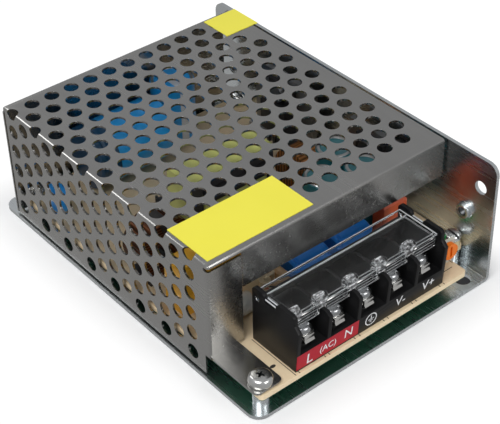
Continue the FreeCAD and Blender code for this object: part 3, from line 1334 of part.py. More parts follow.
# Turn that each winding covers and where it starts, in degrees
CHOKE_TURN = 150
CHOKE_STARTS = (105, -75)
COIL_TURN = 300
COIL_START = -60


def ring(label, axis, centre, outer, bore, thickness):
    """Flat ring about an axis with its middle at three expressions."""
    start = list(centre)
    lane = "xyz".index(axis)
    start[lane] = f"({centre[lane]} - {thickness} / 2)"
    return cut(label, rod(f"{label}_disc", axis, start, outer, thickness),
               rod(f"{label}_bore", axis, start, bore, thickness))


def wound_sector(label, centre, axis, core_outer, core_bore, core_thick, layer, degrees, start_degrees):
    """Part turn of winding round a ring core: a ring sector, larger all round, with the core removed."""
    thick = f"({core_thick} + 2 * {layer})"
    start = list(centre)
    lane = "xyz".index(axis)
    start[lane] = f"({centre[lane]} - {thick} / 2)"
    sector = rod(f"{label}_sector", axis, start, f"({core_outer} + 2 * {layer})", thick)
    sector.Angle = degrees
    sector.Placement.Rotation = TURNS[axis].multiply(FreeCAD.Rotation(Vector(0, 0, 1), start_degrees))
    eye = rod(f"{label}_eye", axis, start, f"({core_bore} - 2 * {layer})", thick)
    void = ring(
        f"{label}_core",
        axis,
        centre,
        f"({core_outer} + dim.winding_gap)",
        f"({core_bore} - dim.winding_gap)",
        f"({core_thick} + dim.winding_gap)",
    )
    return cut(label, cut(f"{label}_ring", sector, eye), void)


def line_choke():
    """Upright ring choke with two windings on a foot plate."""
    centre = (CHOKE_X, CHOKE_Y, CHOKE_Z)
    core = ring("line_choke_core", "y", centre, "dim.choke_dia", "dim.choke_bore", "dim.choke_thick")
    windings = []
    for index, start in enumerate(CHOKE_STARTS):
        windings.append(wound_sector(
            f"choke_winding_{index}", centre, "y", "dim.choke_dia", "dim.choke_bore", "dim.choke_thick",
            "dim.choke_winding", CHOKE_TURN, start,
        ))
    foot = block("line_choke_foot", centred(CHOKE_X, "dim.choke_foot_length"),
                 centred(CHOKE_Y, "dim.choke_foot_width"), (BOARD, above_board("dim.choke_foot")))
    return [core, group("line_choke_windings", windings), foot]


def output_choke():
    """Upright ring choke of the output filter."""
    across = f"({WALL_INSIDE} - dim.output_cap_side - dim.coil_inset)"
    along = f"({FRONT} + dim.output_cap_setback + dim.coil_setback)"
    outer = "(dim.coil_dia + 2 * dim.coil_winding)"
    centre = (across, along, f"({SEAT} + {outer} / 2)")
    core = ring("output_choke_core", "x", centre, "dim.coil_dia", "dim.coil_bore", "dim.coil_thick")
    winding = wound_sector("output_choke_winding", centre, "x", "dim.coil_dia", "dim.coil_bore",
                           "dim.coil_thick", "dim.coil_winding", COIL_TURN, COIL_START)
    return [core, winding]


def boxed_part(label, x, y, height):
    """Moulded box on the board with bevelled upper edges."""
    low = block(f"{label}_blank", x, y, (BOARD, above_board(height)))
    doc.recompute()
    bevel = doc.addObject("Part::Chamfer", label)
    bevel.Base = low
    top = number(above_board(height))
    edges = []
    for index, edge in enumerate(low.Shape.Edges, start=1):
        if abs(edge.CenterOfMass.z - top) < SAME_PLACE:
            edges.append((index, number("dim.box_bevel"), number("dim.box_bevel")))
    bevel.Edges = edges
    return bevel


# Round of a dipped disc's rims as a share of its thickness
DISC_ROUND = 0.35


def disc_part(label, axis, centre, diameter, thickness):
    """Dipped disc with rounded rim, along an axis."""
    start = list(centre)
    lane = "xyz".index(axis)
    start[lane] = f"({centre[lane]} - {thickness} / 2)"
    blank = rod(f"{label}_blank", axis, start, diameter, thickness)
    doc.recompute()
    rounded = doc.addObject("Part::Fillet", label)
    rounded.Base = blank
    radius = number(thickness) * DISC_ROUND
    rims = []
    for index, edge in enumerate(blank.Shape.Edges, start=1):
        if edge.isClosed():
            rims.append((index, radius, radius))
    rounded.Edges = rims
    return rounded


def surge_varistor():
    """Dipped disc near the rear left corner."""
    across = f"({SIDE_INSIDE} + dim.varistor_side + dim.varistor_thick / 2)"
    along = f"({REAR_INSIDE} - dim.rear_clear - dim.bulk_dia / 2 - dim.varistor_dia / 2)"
    centre = (across, along, f"({SEAT} + dim.varistor_dia / 2)")
    return disc_part("surge_varistor", "x", centre, "dim.varistor_dia", "dim.varistor_thick")


def safety_capacitor():
    """Dipped disc between transformer and output filter."""
    across = f"({CORE_RIGHT} + dim.disc_gap + dim.disc_dia / 2)"
    along = f"({CORE_FRONT} - dim.winding_bulge - dim.disc_thick / 2)"
    centre = (across, along, f"({SEAT} + dim.disc_dia / 2)")
    return disc_part("safety_capacitor", "y", centre, "dim.disc_dia", "dim.disc_thick")


def filter_capacitor():
    """Boxed line filter capacitor behind the left flange."""
    left = f"({SIDE_INSIDE} + dim.xcap_side)"
    front = f"({FRONT} + dim.xcap_setback)"
    return boxed_part("filter_capacitor", (left, f"({left} + dim.xcap_length)"),
                      (front, f"({front} + dim.xcap_width)"), "dim.xcap_height")


def film_capacitor():
    """Boxed capacitor behind the right end of the terminal block."""
    right = f"({WALL_INSIDE} - dim.film_side)"
    front = f"({FRONT} + dim.film_setback)"
    return boxed_part("film_capacitor", (f"({right} - dim.film_length)", right),
                      (front, f"({front} + dim.film_width)"), "dim.film_height")


def snubber_capacitor():
    """Small boxed capacitor between the fuse and the lying capacitors."""
    right = f"({SIDE_INSIDE} + dim.front_cap_start - dim.neighbour_gap)"
    front = f"({FRONT} + dim.front_cap_setback - dim.snubber_lead)"
    return boxed_part("snubber_capacitor", (f"({right} - dim.snubber_length)", right),
                      (front, f"({front} + dim.snubber_width)"), "dim.snubber_height")


def line_fuse():
    """Ceramic fuse lying on its leads."""
    left = f"({SIDE_INSIDE} + dim.xcap_side)"
    along = f"({FRONT} + dim.fuse_setback)"
    level = f"({SEAT} + dim.fuse_dia / 2)"
    tube = rod("fuse_tube", "x", (left, along, level), "dim.fuse_dia", "dim.fuse_length")
    caps = []
    far_cap = "(dim.fuse_length - dim.fuse_cap_inset - dim.fuse_cap_length)"
    for index, shift in enumerate(("dim.fuse_cap_inset", far_cap)):
        start = (shifted(left, shift), along, level)
        caps.append(rod(f"fuse_cap_{index}", "x", start, "dim.fuse_cap_dia", "dim.fuse_cap_length"))
    return join("line_fuse", [tube, *caps])


BRIDGE_DIODES = 4


def bridge_diodes():
    """Four rectifier diodes lying side by side on their bent leads."""
    diodes = []
    along = f"({CORE_REAR} + dim.winding_bulge + dim.neighbour_gap + dim.diode_gap)"
    for index in range(BRIDGE_DIODES):
        across = f"({CORE_LEFT} + dim.diode_start + {index} * dim.diode_pitch)"
        level = f"({BOARD} + dim.diode_dia / 2 + dim.seat)"
        start = (across, along, level)
        barrel = rod(f"diode_barrel_{index}", "y", start, "dim.diode_dia", "dim.diode_length")
        front_bend = f"({along} - dim.diode_lead)"
        rear_bend = f"({along} + dim.diode_length + dim.diode_lead)"
        wire_length = "(dim.diode_length + 2 * dim.diode_lead)"
        wire = rod(f"diode_wire_{index}", "y", (across, front_bend, level), "dim.lead_dia", wire_length)
        legs = []
        for side, place in (("front", front_bend), ("back", rear_bend)):
            leg_start = (across, place, BOARD)
            reach = "(dim.diode_dia / 2 + dim.seat + dim.lead_dia / 2)"
            legs.append(rod(f"diode_{side}_leg_{index}", "z", leg_start, "dim.lead_dia", reach))
        diodes.append(join(f"diode_{index}", [barrel, wire, *legs]))
    return group("bridge_diodes", diodes)


def standing_resistors():
    """Two resistors standing on end, one lead bent back down beside the body."""
    resistors = []
    front_x = f"({SIDE_INSIDE} + dim.front_cap_start - dim.neighbour_gap - dim.front_resistor_side)"
    places = (
        (front_x, f"({FRONT} + dim.front_cap_setback)"),
        (f"({CORE_RIGHT} + dim.rear_resistor_side)", f"({CORE_REAR} + dim.rear_resistor_setback)"),
    )
    for index, (across, along) in enumerate(places):
        body_start = (across, along, SEAT)
        barrel = rod(f"resistor_barrel_{index}", "z", body_start, "dim.resistor_dia", "dim.resistor_length")
        rise = "(dim.seat + dim.resistor_length + dim.resistor_loop)"
        stub = rod(f"resistor_stub_{index}", "z", (across, along, BOARD), "dim.lead_dia", rise)
        tip = (across, along, above_board(rise))
        bridge = rod(f"resistor_bridge_{index}", "x", tip, "dim.lead_dia", "dim.resistor_span")
        foot = (shifted(across, "dim.resistor_span"), along, BOARD)
        leg = rod(f"resistor_leg_{index}", "z", foot, "dim.lead_dia", f"({rise} + dim.lead_dia / 2)")
        resistors.append(join(f"resistor_{index}", [barrel, stub, bridge, leg]))
    return group("standing_resistors", resistors)


SINK_OUTER = f"({WALL_INSIDE} - dim.sink_side)"
SINK_INNER = f"({SINK_OUTER} - dim.sink_plate)"
REAR_SINK_REAR = f"({REAR_SCREW_Y} - dim.board_head_dia / 2 - dim.rear_sink_gap)"
FRONT_SINK_FRONT = f"({FRONT} + dim.front_sink_setback)"
FRONT_SINK_REAR = f"({FRONT_SINK_FRONT} + dim.front_sink_length)"
SINKS = (
    ("primary", f"({FRONT_SINK_REAR} + dim.sink_gap)", REAR_SINK_REAR),
    ("secondary", FRONT_SINK_FRONT, FRONT_SINK_REAR),
)
PACKAGE_LEGS = 3


def heatsink(name, front, rear):
    """Folded plate: an upright with a foot on the board."""
    body = new_body(f"{name}_heatsink")
    section = new_sketch(body, "section", "XZ_Plane", f"-{front}")
    foot = f"({SINK_INNER} - dim.sink_foot)"
    outline(section, [
        (foot, BOARD),
        (SINK_OUTER, BOARD),
        (SINK_OUTER, above_board("dim.sink_height")),
        (SINK_INNER, above_board("dim.sink_height")),
        (SINK_INNER, above_board("dim.sink_plate")),
        (foot, above_board("dim.sink_plate")),
    ])
    pad(body, "plate", section, f"{rear} - {front}", backward=True)
    middle = f"(({front} + {rear}) / 2)"
    hole = new_sketch(body, "hole", "YZ_Plane", SINK_INNER)
    circle(hole, (middle, fixing_level()), "dim.board_hole_dia")
    pocket(body, "bore", hole, "dim.sink_plate", forward=True)
    return body


def fixing_level():
    """Expression of the package screw's height."""
    return above_board("dim.package_lift + dim.package_height - dim.package_hole_drop")


def power_package(label, front, rear):
    """Plastic package with a drilled metal tab against the heatsink and three legs."""
    middle = f"(({front} + {rear}) / 2)"
    width = centred(middle, "dim.package_width")
    under = above_board("dim.package_lift")
    top = above_board("dim.package_lift + dim.package_height")
    tab = block(f"{label}_tab", (f"({SINK_INNER} - dim.package_tab)", SINK_INNER), width, (under, top))
    case_x = (f"({SINK_INNER} - dim.package_thick)", f"({SINK_INNER} - dim.package_tab)")
    case = block(f"{label}_case", case_x, width, (under, shifted(under, "dim.package_case")))
    legs = []
    leg_middle = f"({SINK_INNER} - dim.package_thick / 2 - dim.package_leg_inset)"
    leg_x = centred(leg_middle, "dim.package_leg_thick")
    leg_z = (BOARD, shifted(under, "dim.package_leg_sink"))
    for index in range(PACKAGE_LEGS):
        lane = f"({middle} + {index - (PACKAGE_LEGS - 1) / 2} * dim.package_leg_pitch)"
        legs.append(block(f"{label}_leg_{index}", leg_x, centred(lane, "dim.package_leg_width"), leg_z))
    hole_start = (f"({SINK_INNER} - dim.package_thick)", middle, fixing_level())
    hole = rod(f"{label}_hole", "x", hole_start, "dim.board_hole_dia", "dim.package_thick")
    return cut(label, join(f"{label}_blank", [tab, case, *legs]), hole)


def package_screws():
    """Screws that hold the power packages to the heatsinks."""
    screws = []
    for index, (_, front, rear) in enumerate(SINKS):
        middle = f"(({front} + {rear}) / 2)"
        seat = f"({SINK_INNER} - dim.package_tab)"
        height = "dim.package_head_height"
        head_start = (f"({seat} - {height})", middle, fixing_level())
        head = rod(f"package_head_{index}", "x", head_start, "dim.package_head_dia", height)
        shank_start = (seat, middle, fixing_level())
        reach = "(dim.package_tab + dim.sink_plate)"
        shank = rod(f"package_shank_{index}", "x", shank_start, "dim.screw_dia", reach)
        screws.append(join(f"package_screw_{index}", [head, shank]))
    return group("package_screws", screws)


# Pins on each side of the dual in-line packages
CONTROLLER_PINS = 4
COUPLER_PINS = 2


def dual_in_line(label, across, along, length, pins):
    """Small moulded package on two rows of pins."""
    case = block(f"{label}_case", centred(across, "dim.chip_width"), centred(along, length),
                 (above_board("dim.chip_lift"), above_board("dim.chip_lift + dim.chip_height")))
    legs = []
    leg_z = (BOARD, above_board("dim.chip_lift + dim.chip_height / 2"))
    for index in range(pins):
        lane = centred(f"({along} + {index - (pins - 1) / 2} * dim.pin_pitch)", "dim.pin_width")
        for name, side in (("left", -1), ("right", 1)):
            middle = f"({across} + {side} * (dim.chip_width / 2 + dim.pin_gap))"
            legs.append(block(f"{label}_{name}_pin_{index}", centred(middle, "dim.pin_thick"), lane, leg_z))
    return join(label, [case, *legs])


def controller_chip():
    """Switching controller behind the transformer."""
    across = f"({SINK_INNER} - dim.package_thick - dim.neighbour_gap - dim.chip_width)"
    along = f"({CORE_REAR} + dim.winding_bulge + dim.chip_setback)"
    return dual_in_line("controller_chip", across, along, "dim.chip_length", CONTROLLER_PINS)


def optocoupler():
    """Feedback coupler between the two sides of the board."""
    across = f"({CORE_RIGHT} + dim.neighbour_gap + dim.chip_width / 2 + dim.coupler_gap)"
    return dual_in_line("optocoupler", across, CORE_REAR, "dim.coupler_length", COUPLER_PINS)


# Labels

def front_label():
    """Plain sticker on the roof behind the front fold."""
    left = f"({SIDE} + dim.front_label_side)"
    front = f"({FRONT} + dim.front_label_setback)"
    return block("front_label", (left, f"({left} + dim.front_label_length)"),
                 (front, f"({front} + dim.front_label_depth)"), (ROOF, f"({ROOF} + dim.label_thick)"))


def seal_label():
    """Plain seal sticker that bridges the roof edge and the top of the base wall."""
    rear = f"({REAR} - dim.seal_rear - dim.cover_bend)"
    return block("seal_label", (f"({HALF_WIDTH} - dim.seal_length)", HALF_WIDTH),
                 (f"({rear} - dim.seal_depth)", rear), (ROOF, f"({ROOF} + dim.label_thick)"))


def build():
    """All sub-parts in the order in which they go together."""
    nodes = [base_chassis(), board_standoffs(), circuit_board(), board_screws(), screw_washers()]
    nodes += [terminal_block(), terminal_contacts()]
    nodes += [clamp_plate(index) for index in range(POLES)]
    nodes += [terminal_screw(index) for index in range(POLES)]
    nodes += [terminal_lid(), trimmer_body(), trimmer_rotor(), power_lamp()]
    nodes += [line_fuse(), filter_capacitor(), *line_choke(), surge_varistor(), bridge_diodes()]
    nodes += [bulk_capacitor(), supply_capacitor()]
    nodes += [transformer_core(), transformer_bobbin(), transformer_winding(), transformer_tape()]
    nodes += [heatsink(*sink) for sink in SINKS]
    nodes += [power_package("switching_transistor", *SINKS[0][1:])]
    nodes += [power_package("output_rectifier", *SINKS[1][1:])]
    nodes += [package_screws(), safety_capacitor(), *output_choke(), output_capacitors()]
    nodes += [front_capacitors(), film_capacitor(), snubber_capacitor(), standing_resistors()]
    nodes += [controller_chip(), optocoupler()]
    nodes += [perforated_cover(), cover_screw(), front_label(), seal_label()]
    return nodes


def export(nodes):
    """Check every object, then write one file for each node."""
    doc.recompute()
    failed = [item.Name for item in doc.Objects if "Invalid" in item.State or "Error" in item.State]
    if failed:
        raise RuntimeError(f"failed objects: {failed}")
    for node in nodes:
        if node.Shape.isNull() or not node.Shape.isValid():
            raise RuntimeError(f"bad shape: {node.Label}")
    os.makedirs("parts", exist_ok=True)
    for node in nodes:
        node.Shape.exportStep(f"parts/{node.Label}.step")
        print(node.Label, len(node.Shape.Solids), round(node.Shape.Volume, 1))


export(build())
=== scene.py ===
"""Dressed view of an enclosed power supply.

A folded chassis stands under a perforated cover, with screw terminals under a clear lid. Every
sub-assembly is a class that holds its sizes, builds its own meshes by hand modelling steps and dresses the
CAD solids that it owns. Lengths are in metres, in the frame of the CAD model.
"""

import logging
import math
from contextlib import contextmanager
from dataclasses import dataclass
from enum import Enum, IntEnum
from typing import Callable, Iterator, Protocol, Sequence

import bmesh
import bpy
from mathutils import Matrix, Vector


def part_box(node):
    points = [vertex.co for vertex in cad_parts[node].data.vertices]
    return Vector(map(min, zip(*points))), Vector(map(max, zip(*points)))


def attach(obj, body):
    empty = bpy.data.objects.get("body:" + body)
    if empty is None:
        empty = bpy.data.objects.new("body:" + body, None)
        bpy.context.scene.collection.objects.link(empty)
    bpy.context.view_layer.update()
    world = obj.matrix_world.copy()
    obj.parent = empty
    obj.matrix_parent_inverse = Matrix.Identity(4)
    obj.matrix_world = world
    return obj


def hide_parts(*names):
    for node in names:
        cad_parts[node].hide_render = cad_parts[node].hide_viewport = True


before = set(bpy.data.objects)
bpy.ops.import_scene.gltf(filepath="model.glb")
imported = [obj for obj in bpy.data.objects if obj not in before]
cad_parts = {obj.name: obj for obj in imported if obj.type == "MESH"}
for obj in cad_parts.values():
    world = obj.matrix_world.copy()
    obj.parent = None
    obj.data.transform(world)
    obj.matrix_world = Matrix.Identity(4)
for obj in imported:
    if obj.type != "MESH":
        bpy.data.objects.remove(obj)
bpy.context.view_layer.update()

LOG = logging.getLogger("power_supply")

Point = tuple[float, float, float]
Color = tuple[float, float, float]
Spot = tuple[float, float]
Test = Callable[[Vector, object], bool]

MM = 0.001
NEAR = 0.001 * MM
SEAM = 0.004 * MM
FLAT_ANGLE = 1.0
SHARP_ANGLE = 35.0
CORNER_ANGLE = 60.0
QUARTER = math.pi / 2
ORIGIN: Point = (0.0, 0.0, 0.0)
UNTURNED: Point = (0.0, 0.0, 0.0)
FULL_SIZE: Point = (1.0, 1.0, 1.0)
WHITE: Color = (1.0, 1.0, 1.0)
POLES = 5


class Axis(IntEnum):
    """Axes of the frame: X to the right, Y to the rear, Z up."""

    X = 0
    Y = 1
    Z = 2


# Shader maths and finishes


def darker(color: Color, share: float) -> Color:
    """A colour with its parts scaled down."""
    return tuple(part * share for part in color)


class Value:
    """One shader socket with Python operators that add the matching Math nodes."""

    def __init__(self, tree: "Tree", socket: bpy.types.NodeSocket) -> None:
        """Wraps a socket of a node tree.

        Args:
            tree: The tree that the socket belongs to.
            socket: The output socket.
        """
        self.tree = tree
        self.socket = socket

    def _math(self, operation: str, *terms: "Value | float") -> "Value":
        """Adds one Math node for the terms."""
        return self.tree.math(operation, *terms)

    def __add__(self, other: "Value | float") -> "Value":
        """Sum."""
        return self._math("ADD", self, other)

    __radd__ = __add__

    def __mul__(self, other: "Value | float") -> "Value":
        """Product."""
        return self._math("MULTIPLY", self, other)

    __rmul__ = __mul__

    def __sub__(self, other: "Value | float") -> "Value":
        """Difference."""
        return self._math("SUBTRACT", self, other)

    def __rsub__(self, other: "Value | float") -> "Value":
        """Difference from a number."""
        return self._math("SUBTRACT", other, self)

    def __truediv__(self, other: "Value | float") -> "Value":
        """Quotient."""
        return self._math("DIVIDE", self, other)

    def __gt__(self, other: "Value | float") -> "Value":
        """1 where greater."""
        return self._math("GREATER_THAN", self, other)

    def __lt__(self, other: "Value | float") -> "Value":
        """1 where less."""
        return self._math("LESS_THAN", self, other)

    def within(self, low: float, high: float) -> "Value":
        """1 between two numbers."""
        return (self > low) * (self < high)

    def swing(self) -> "Value":
        """A pattern from 0 to 1 moved to swing about 0."""
        return self - 0.5

    def wave(self) -> "Value":
        """Sine."""
        return self._math("SINE", self)

    def size(self) -> "Value":
        """Magnitude."""
        return self._math("ABSOLUTE", self)

    def at_least(self, low: "Value | float") -> "Value":
        """The greater of two."""
        return self._math("MAXIMUM", self, low)

    def clamped(self) -> "Value":
        """Held between 0 and 1."""
        return self._math("MINIMUM", self._math("MAXIMUM", self, 0.0), 1.0)


class Ray(Enum):
    """Kinds of ray for which the stage looks different."""

    CAMERA = "Is Camera Ray"
    GLOSSY = "Is Glossy Ray"
    TRANSMISSION = "Is Transmission Ray"


class Tree:
    """Node tree that is emptied and filled by one method."""

    def __init__(self, owner: bpy.types.ID) -> None:
        """Takes over a node tree.

        Args:
            owner: The material or world whose tree it is.
        """
        owner.use_nodes = True
        self.tree = owner.node_tree
        self.tree.nodes.clear()

    def _feed(self, target: bpy.types.NodeSocket, value: object) -> None:
        """Links a value or writes a constant to a socket.

        Args:
            target: The input socket.
            value: A wrapped socket, a number, a vector or a colour of three parts.
        """
        if isinstance(value, Value):
            self.tree.links.new(value.socket, target)
        elif isinstance(value, tuple) and target.type == "RGBA":
            target.default_value = (*value, 1.0)
        else:
            target.default_value = value

    def node(self, kind: str, settings: dict | None = None, inputs: dict | None = None) -> bpy.types.Node:
        """Adds a node.

        Args:
            kind: Node type without its ShaderNode prefix.
            settings: Attributes that are set first.
            inputs: Values or links by socket name or index.

        Returns:
            The new node.
        """
        node = self.tree.nodes.new(f"ShaderNode{kind}")
        for key, value in (settings or {}).items():
            setattr(node, key, value)
        for key, value in (inputs or {}).items():
            self._feed(node.inputs[key], value)
        return node

    def first(self, node: bpy.types.Node) -> Value:
        """First output of a node."""
        return Value(self, node.outputs[0])

    def math(self, operation: str, *terms: "Value | float") -> Value:
        """Result of one Math node."""
        return self.first(self.node("Math", {"operation": operation}, dict(enumerate(terms))))

    def blend(self, factor: "Value | float", first: Value, second: Value) -> Value:
        """Shader between two shaders."""
        return self.first(self.node("MixShader", inputs={0: factor, 1: first, 2: second}))

    def glow(self, color: Color, strength: float) -> Value:
        """Emission of one colour."""
        return self.first(self.node("Emission", inputs={"Color": color, "Strength": strength}))

    def background(self, color: Color) -> Value:
        """Light of one colour from all round."""
        return self.first(self.node("Background", inputs={"Color": color}))

    def ray(self, kind: Ray) -> Value:
        """1 for rays of one kind."""
        return Value(self, self.node("LightPath").outputs[kind.value])


class Detail(Enum):
    """How finely broken a noise pattern is."""

    SOFT = 1.0
    PLAIN = 2.0
    CLOUDY = 3.0
    FIBROUS = 4.0


class Paint(Tree):
    """Node tree of one finish round a Principled shader."""

    MIX_FACTOR = 0
    MIX_FIRST = 6
    MIX_SECOND = 7
    MIX_RESULT = 2

    def __init__(self, name: str, **constants: float | Color) -> None:
        """Starts a material.

        Args:
            name: Name of the material.
            constants: Values of the shader's own sockets, with underscores for spaces.
        """
        self.material = bpy.data.materials.new(name)
        super().__init__(self.material)
        self.shader = self.node("BsdfPrincipled")
        self.out = self.node("OutputMaterial", inputs={"Surface": self.first(self.shader)})
        for key, value in constants.items():
            self.set(key.replace("_", " "), value)

    def set(self, socket: str, value: "Value | float | Color") -> None:
        """Sets or links one socket of the shader."""
        self._feed(self.shader.inputs[socket], value)

    def surface(self, shader: Value) -> None:
        """Takes another shader for the whole surface."""
        self._feed(self.out.inputs["Surface"], shader)

    def place(self) -> Value:
        """Object coordinates."""
        return Value(self, self.node("TexCoord").outputs["Object"])

    def axes(self) -> tuple[Value, Value, Value]:
        """The three object coordinates apart."""
        node = self.node("SeparateXYZ", inputs={0: self.place()})
        return tuple(Value(self, output) for output in node.outputs)

    def stretched(self, scale: Point) -> Value:
        """Object coordinates scaled along each axis."""
        return self.first(self.node("Mapping", inputs={"Vector": self.place(), "Scale": scale}))

    def noise(self, scale: float, detail: Detail = Detail.CLOUDY, vector: Value | None = None) -> Value:
        """Noise from 0 to 1 over the object coordinates, or over others."""
        inputs = {"Vector": vector or self.place(), "Scale": scale, "Detail": detail.value}
        return Value(self, self.node("TexNoise", inputs=inputs).outputs["Fac"])

    def mix(self, factor: "Value | float", first: "Value | Color", second: "Value | Color") -> Value:
        """Colour between two colours."""
        inputs = {self.MIX_FACTOR: factor, self.MIX_FIRST: first, self.MIX_SECOND: second}
        return Value(self, self.node("Mix", {"data_type": "RGBA"}, inputs).outputs[self.MIX_RESULT])

    def bump(self, height: Value, depth: float, strength: float = 1.0) -> None:
        """Bumps the surface by a height map of a real depth."""
        inputs = {"Height": height, "Distance": depth, "Strength": strength}
        self.set("Normal", self.first(self.node("Bump", inputs=inputs)))


class Finish(Protocol):
    """What a piece can wear: anything that builds its own material."""

    def material(self) -> bpy.types.Material:
        """Builds the material."""
        ...


class Direction(Enum):
    """Way in which a sheet's rolling grain runs, as noise scales along each axis."""

    ALONG = (900.0, 30.0, 900.0)
    UPWARD = (900.0, 900.0, 30.0)


@dataclass(frozen=True)
class SheetSteel:
    """Plated sheet steel with a faint rolling grain and fingerprints."""

    name: str
    color: Color
    shade: Color
    roughness: float
    grain: Direction = Direction.ALONG
    smudge: float = 0.12
    cloud_scale: float = 38.0
    cloud_share: float = 0.7
    grain_depth: float = 0.01 * MM
    grain_strength: float = 0.15

    def material(self) -> bpy.types.Material:
        """Mixes clouds and grain into the colour and the polish.

        Returns:
            The material.
        """
        paint = Paint(self.name, Metallic=1.0)
        grain = paint.noise(1.0, Detail.PLAIN, paint.stretched(self.grain.value))
        cloud = paint.noise(self.cloud_scale, Detail.FIBROUS)
        worn = cloud * self.cloud_share + grain * (1.0 - self.cloud_share)
        paint.set("Base Color", paint.mix(worn, self.shade, self.color))
        paint.set("Roughness", self.roughness + cloud.swing() * self.smudge + grain.swing() * self.smudge)
        paint.bump(grain, self.grain_depth, self.grain_strength)
        return paint.material


@dataclass(frozen=True)
class Plated:
    """Bright plated screws, washers and clamps."""

    name: str
    color: Color = (0.78, 0.78, 0.76)
    roughness: float = 0.22
    cloud_scale: float = 420.0
    shade: float = 0.72
    smudge: float = 0.16

    def material(self) -> bpy.types.Material:
        """Clouds the plating.

        Returns:
            The material.
        """
        paint = Paint(self.name, Metallic=1.0)
        cloud = paint.noise(self.cloud_scale)
        paint.set("Base Color", paint.mix(cloud, darker(self.color, self.shade), self.color))
        paint.set("Roughness", self.roughness + cloud.swing() * self.smudge)
        return paint.material


@dataclass(frozen=True)
class Moulded:
    """Moulded plastic, enamel or epoxy with a fine grain."""

    name: str
    color: Color
    roughness: float = 0.4
    coat: float = 0.0
    shine: float = 0.5
    shade: float = 0.78
    smudge: float = 0.12
    cloud_scale: float = 160.0
    grain_scale: float = 2600.0
    grain_depth: float = 0.03 * MM
    grain_strength: float = 0.5

    def material(self) -> bpy.types.Material:
        """Clouds the colour and roughens the skin.

        Returns:
            The material.
        """
        paint = Paint(self.name, Coat_Weight=self.coat, Specular_IOR_Level=self.shine)
        cloud = paint.noise(self.cloud_scale)
        paint.set("Base Color", paint.mix(cloud, darker(self.color, self.shade), self.color))
        paint.set("Roughness", self.roughness + cloud.swing() * self.smudge)
        paint.bump(paint.noise(self.grain_scale, Detail.PLAIN), self.grain_depth, self.grain_strength)
        return paint.material


@dataclass(frozen=True)
class Clear:
    """Clear polycarbonate with faint scuffs."""

    name: str
    color: Color = (0.97, 0.98, 0.98)
    bending: float = 1.36
    polish: float = 0.02
    scuff: float = 0.05
    scuff_from: float = 0.62
    scuff_scale: float = 240.0

    def material(self) -> bpy.types.Material:
        """Dulls the clear skin where it is scuffed.

        Returns:
            The material.
        """
        paint = Paint(self.name, Base_Color=self.color, Transmission_Weight=1.0, IOR=self.bending)
        scuffed = paint.noise(self.scuff_scale) > self.scuff_from
        paint.set("Roughness", self.polish + scuffed * self.scuff)
        return paint.material


@dataclass(frozen=True)
class PaintedGlint:
    """Whitish, streaked skin on the rims and grips of a clear moulding: painted highlights for the light
    that its edges gather.
    """

    name: str
    color: Color = (0.90, 0.93, 0.95)
    clear: float = 0.2
    shade: float = 0.62
    contrast: float = 1.0
    grain: Point = (260.0, 900.0, 900.0)
    bending: float = 1.45
    roughness: float = 0.10
    smudge: float = 0.2
    pit_scale: float = 1500.0
    pit_depth: float = 0.4 * MM
    pit_strength: float = 0.6

    def material(self) -> bpy.types.Material:
        """Streaks the colour as painted highlights, streaks the polish, and pits the skin.

        Returns:
            The material.
        """
        paint = Paint(self.name, Transmission_Weight=self.clear, IOR=self.bending)
        pattern = paint.noise(1.0, Detail.CLOUDY, paint.stretched(self.grain))
        streak = (pattern.swing() * self.contrast + 0.5).clamped()
        paint.set("Base Color", paint.mix(streak, darker(self.color, self.shade), self.color))
        paint.set("Roughness", self.roughness + streak * self.smudge)
        paint.bump(paint.noise(self.pit_scale, Detail.PLAIN), self.pit_depth, self.pit_strength)
        return paint.material


@dataclass(frozen=True)
class Sleeved:
    """Capacitor in a shrink sleeve with a bare metal end and a pale stripe along it, painted darker outside
    a lit band as painted shade.
    """

    name: str
    color: Color
    top: float
    stripe_at: float
    # Painted light and shade: the band across the sleeve in which it keeps its colour, and the share of its
    # colour that is painted outside the band as shade.
    painted_light_from: float = -1.0
    painted_light_to: float = 1.0
    shade: float = 0.7
    painted_shade: float = 0.12
    stripe: Color = (0.62, 0.66, 0.72)
    stripe_width: float = 2.2 * MM
    end: Color = (0.62, 0.62, 0.62)
    end_height: float = 0.25 * MM
    roughness: float = 0.28
    coat: float = 0.4
    cloud_scale: float = 140.0

    def material(self) -> bpy.types.Material:
        """Lays the sleeve with its painted light and shade, the stripe and the bare end over each other.

        Returns:
            The material.
        """
        paint = Paint(self.name, Roughness=self.roughness, Coat_Weight=self.coat)
        across, _, height = paint.axes()
        bright = paint.mix(paint.noise(self.cloud_scale), darker(self.color, self.shade), self.color)
        # Painted light and shade: the sleeve keeps its colour inside the lit band across it and is painted
        # darker outside it.
        lit = across.within(self.painted_light_from, self.painted_light_to)
        sleeve = paint.mix(lit, darker(self.color, self.painted_shade), bright)
        striped = across.within(self.stripe_at, self.stripe_at + self.stripe_width)
        marked = paint.mix(striped, sleeve, self.stripe)
        bare = height > self.top - self.end_height
        paint.set("Base Color", paint.mix(bare, marked, self.end))
        paint.set("Metallic", bare)
        return paint.material


@dataclass(frozen=True)
class Wound:
    """Enamelled wire laid side by side."""

    name: str
    color: Color
    pitch: float
    along: Axis
    metallic: float = 0.75
    roughness: float = 0.3
    shade: float = 0.35
    wire_height: float = 0.2 * MM

    def material(self) -> bpy.types.Material:
        """Raises one wave for each turn of wire, and paints shade into the colour between the turns.

        Returns:
            The material.
        """
        paint = Paint(self.name, Metallic=self.metallic, Roughness=self.roughness)
        run = paint.axes()[self.along]
        turns = (run * (2 * math.pi / self.pitch)).wave() * 0.5 + 0.5
        # Painted shade: the colour darkens in the valleys between turns.
        paint.set("Base Color", paint.mix(turns, darker(self.color, self.shade), self.color))
        paint.bump(turns, self.wire_height)
        return paint.material


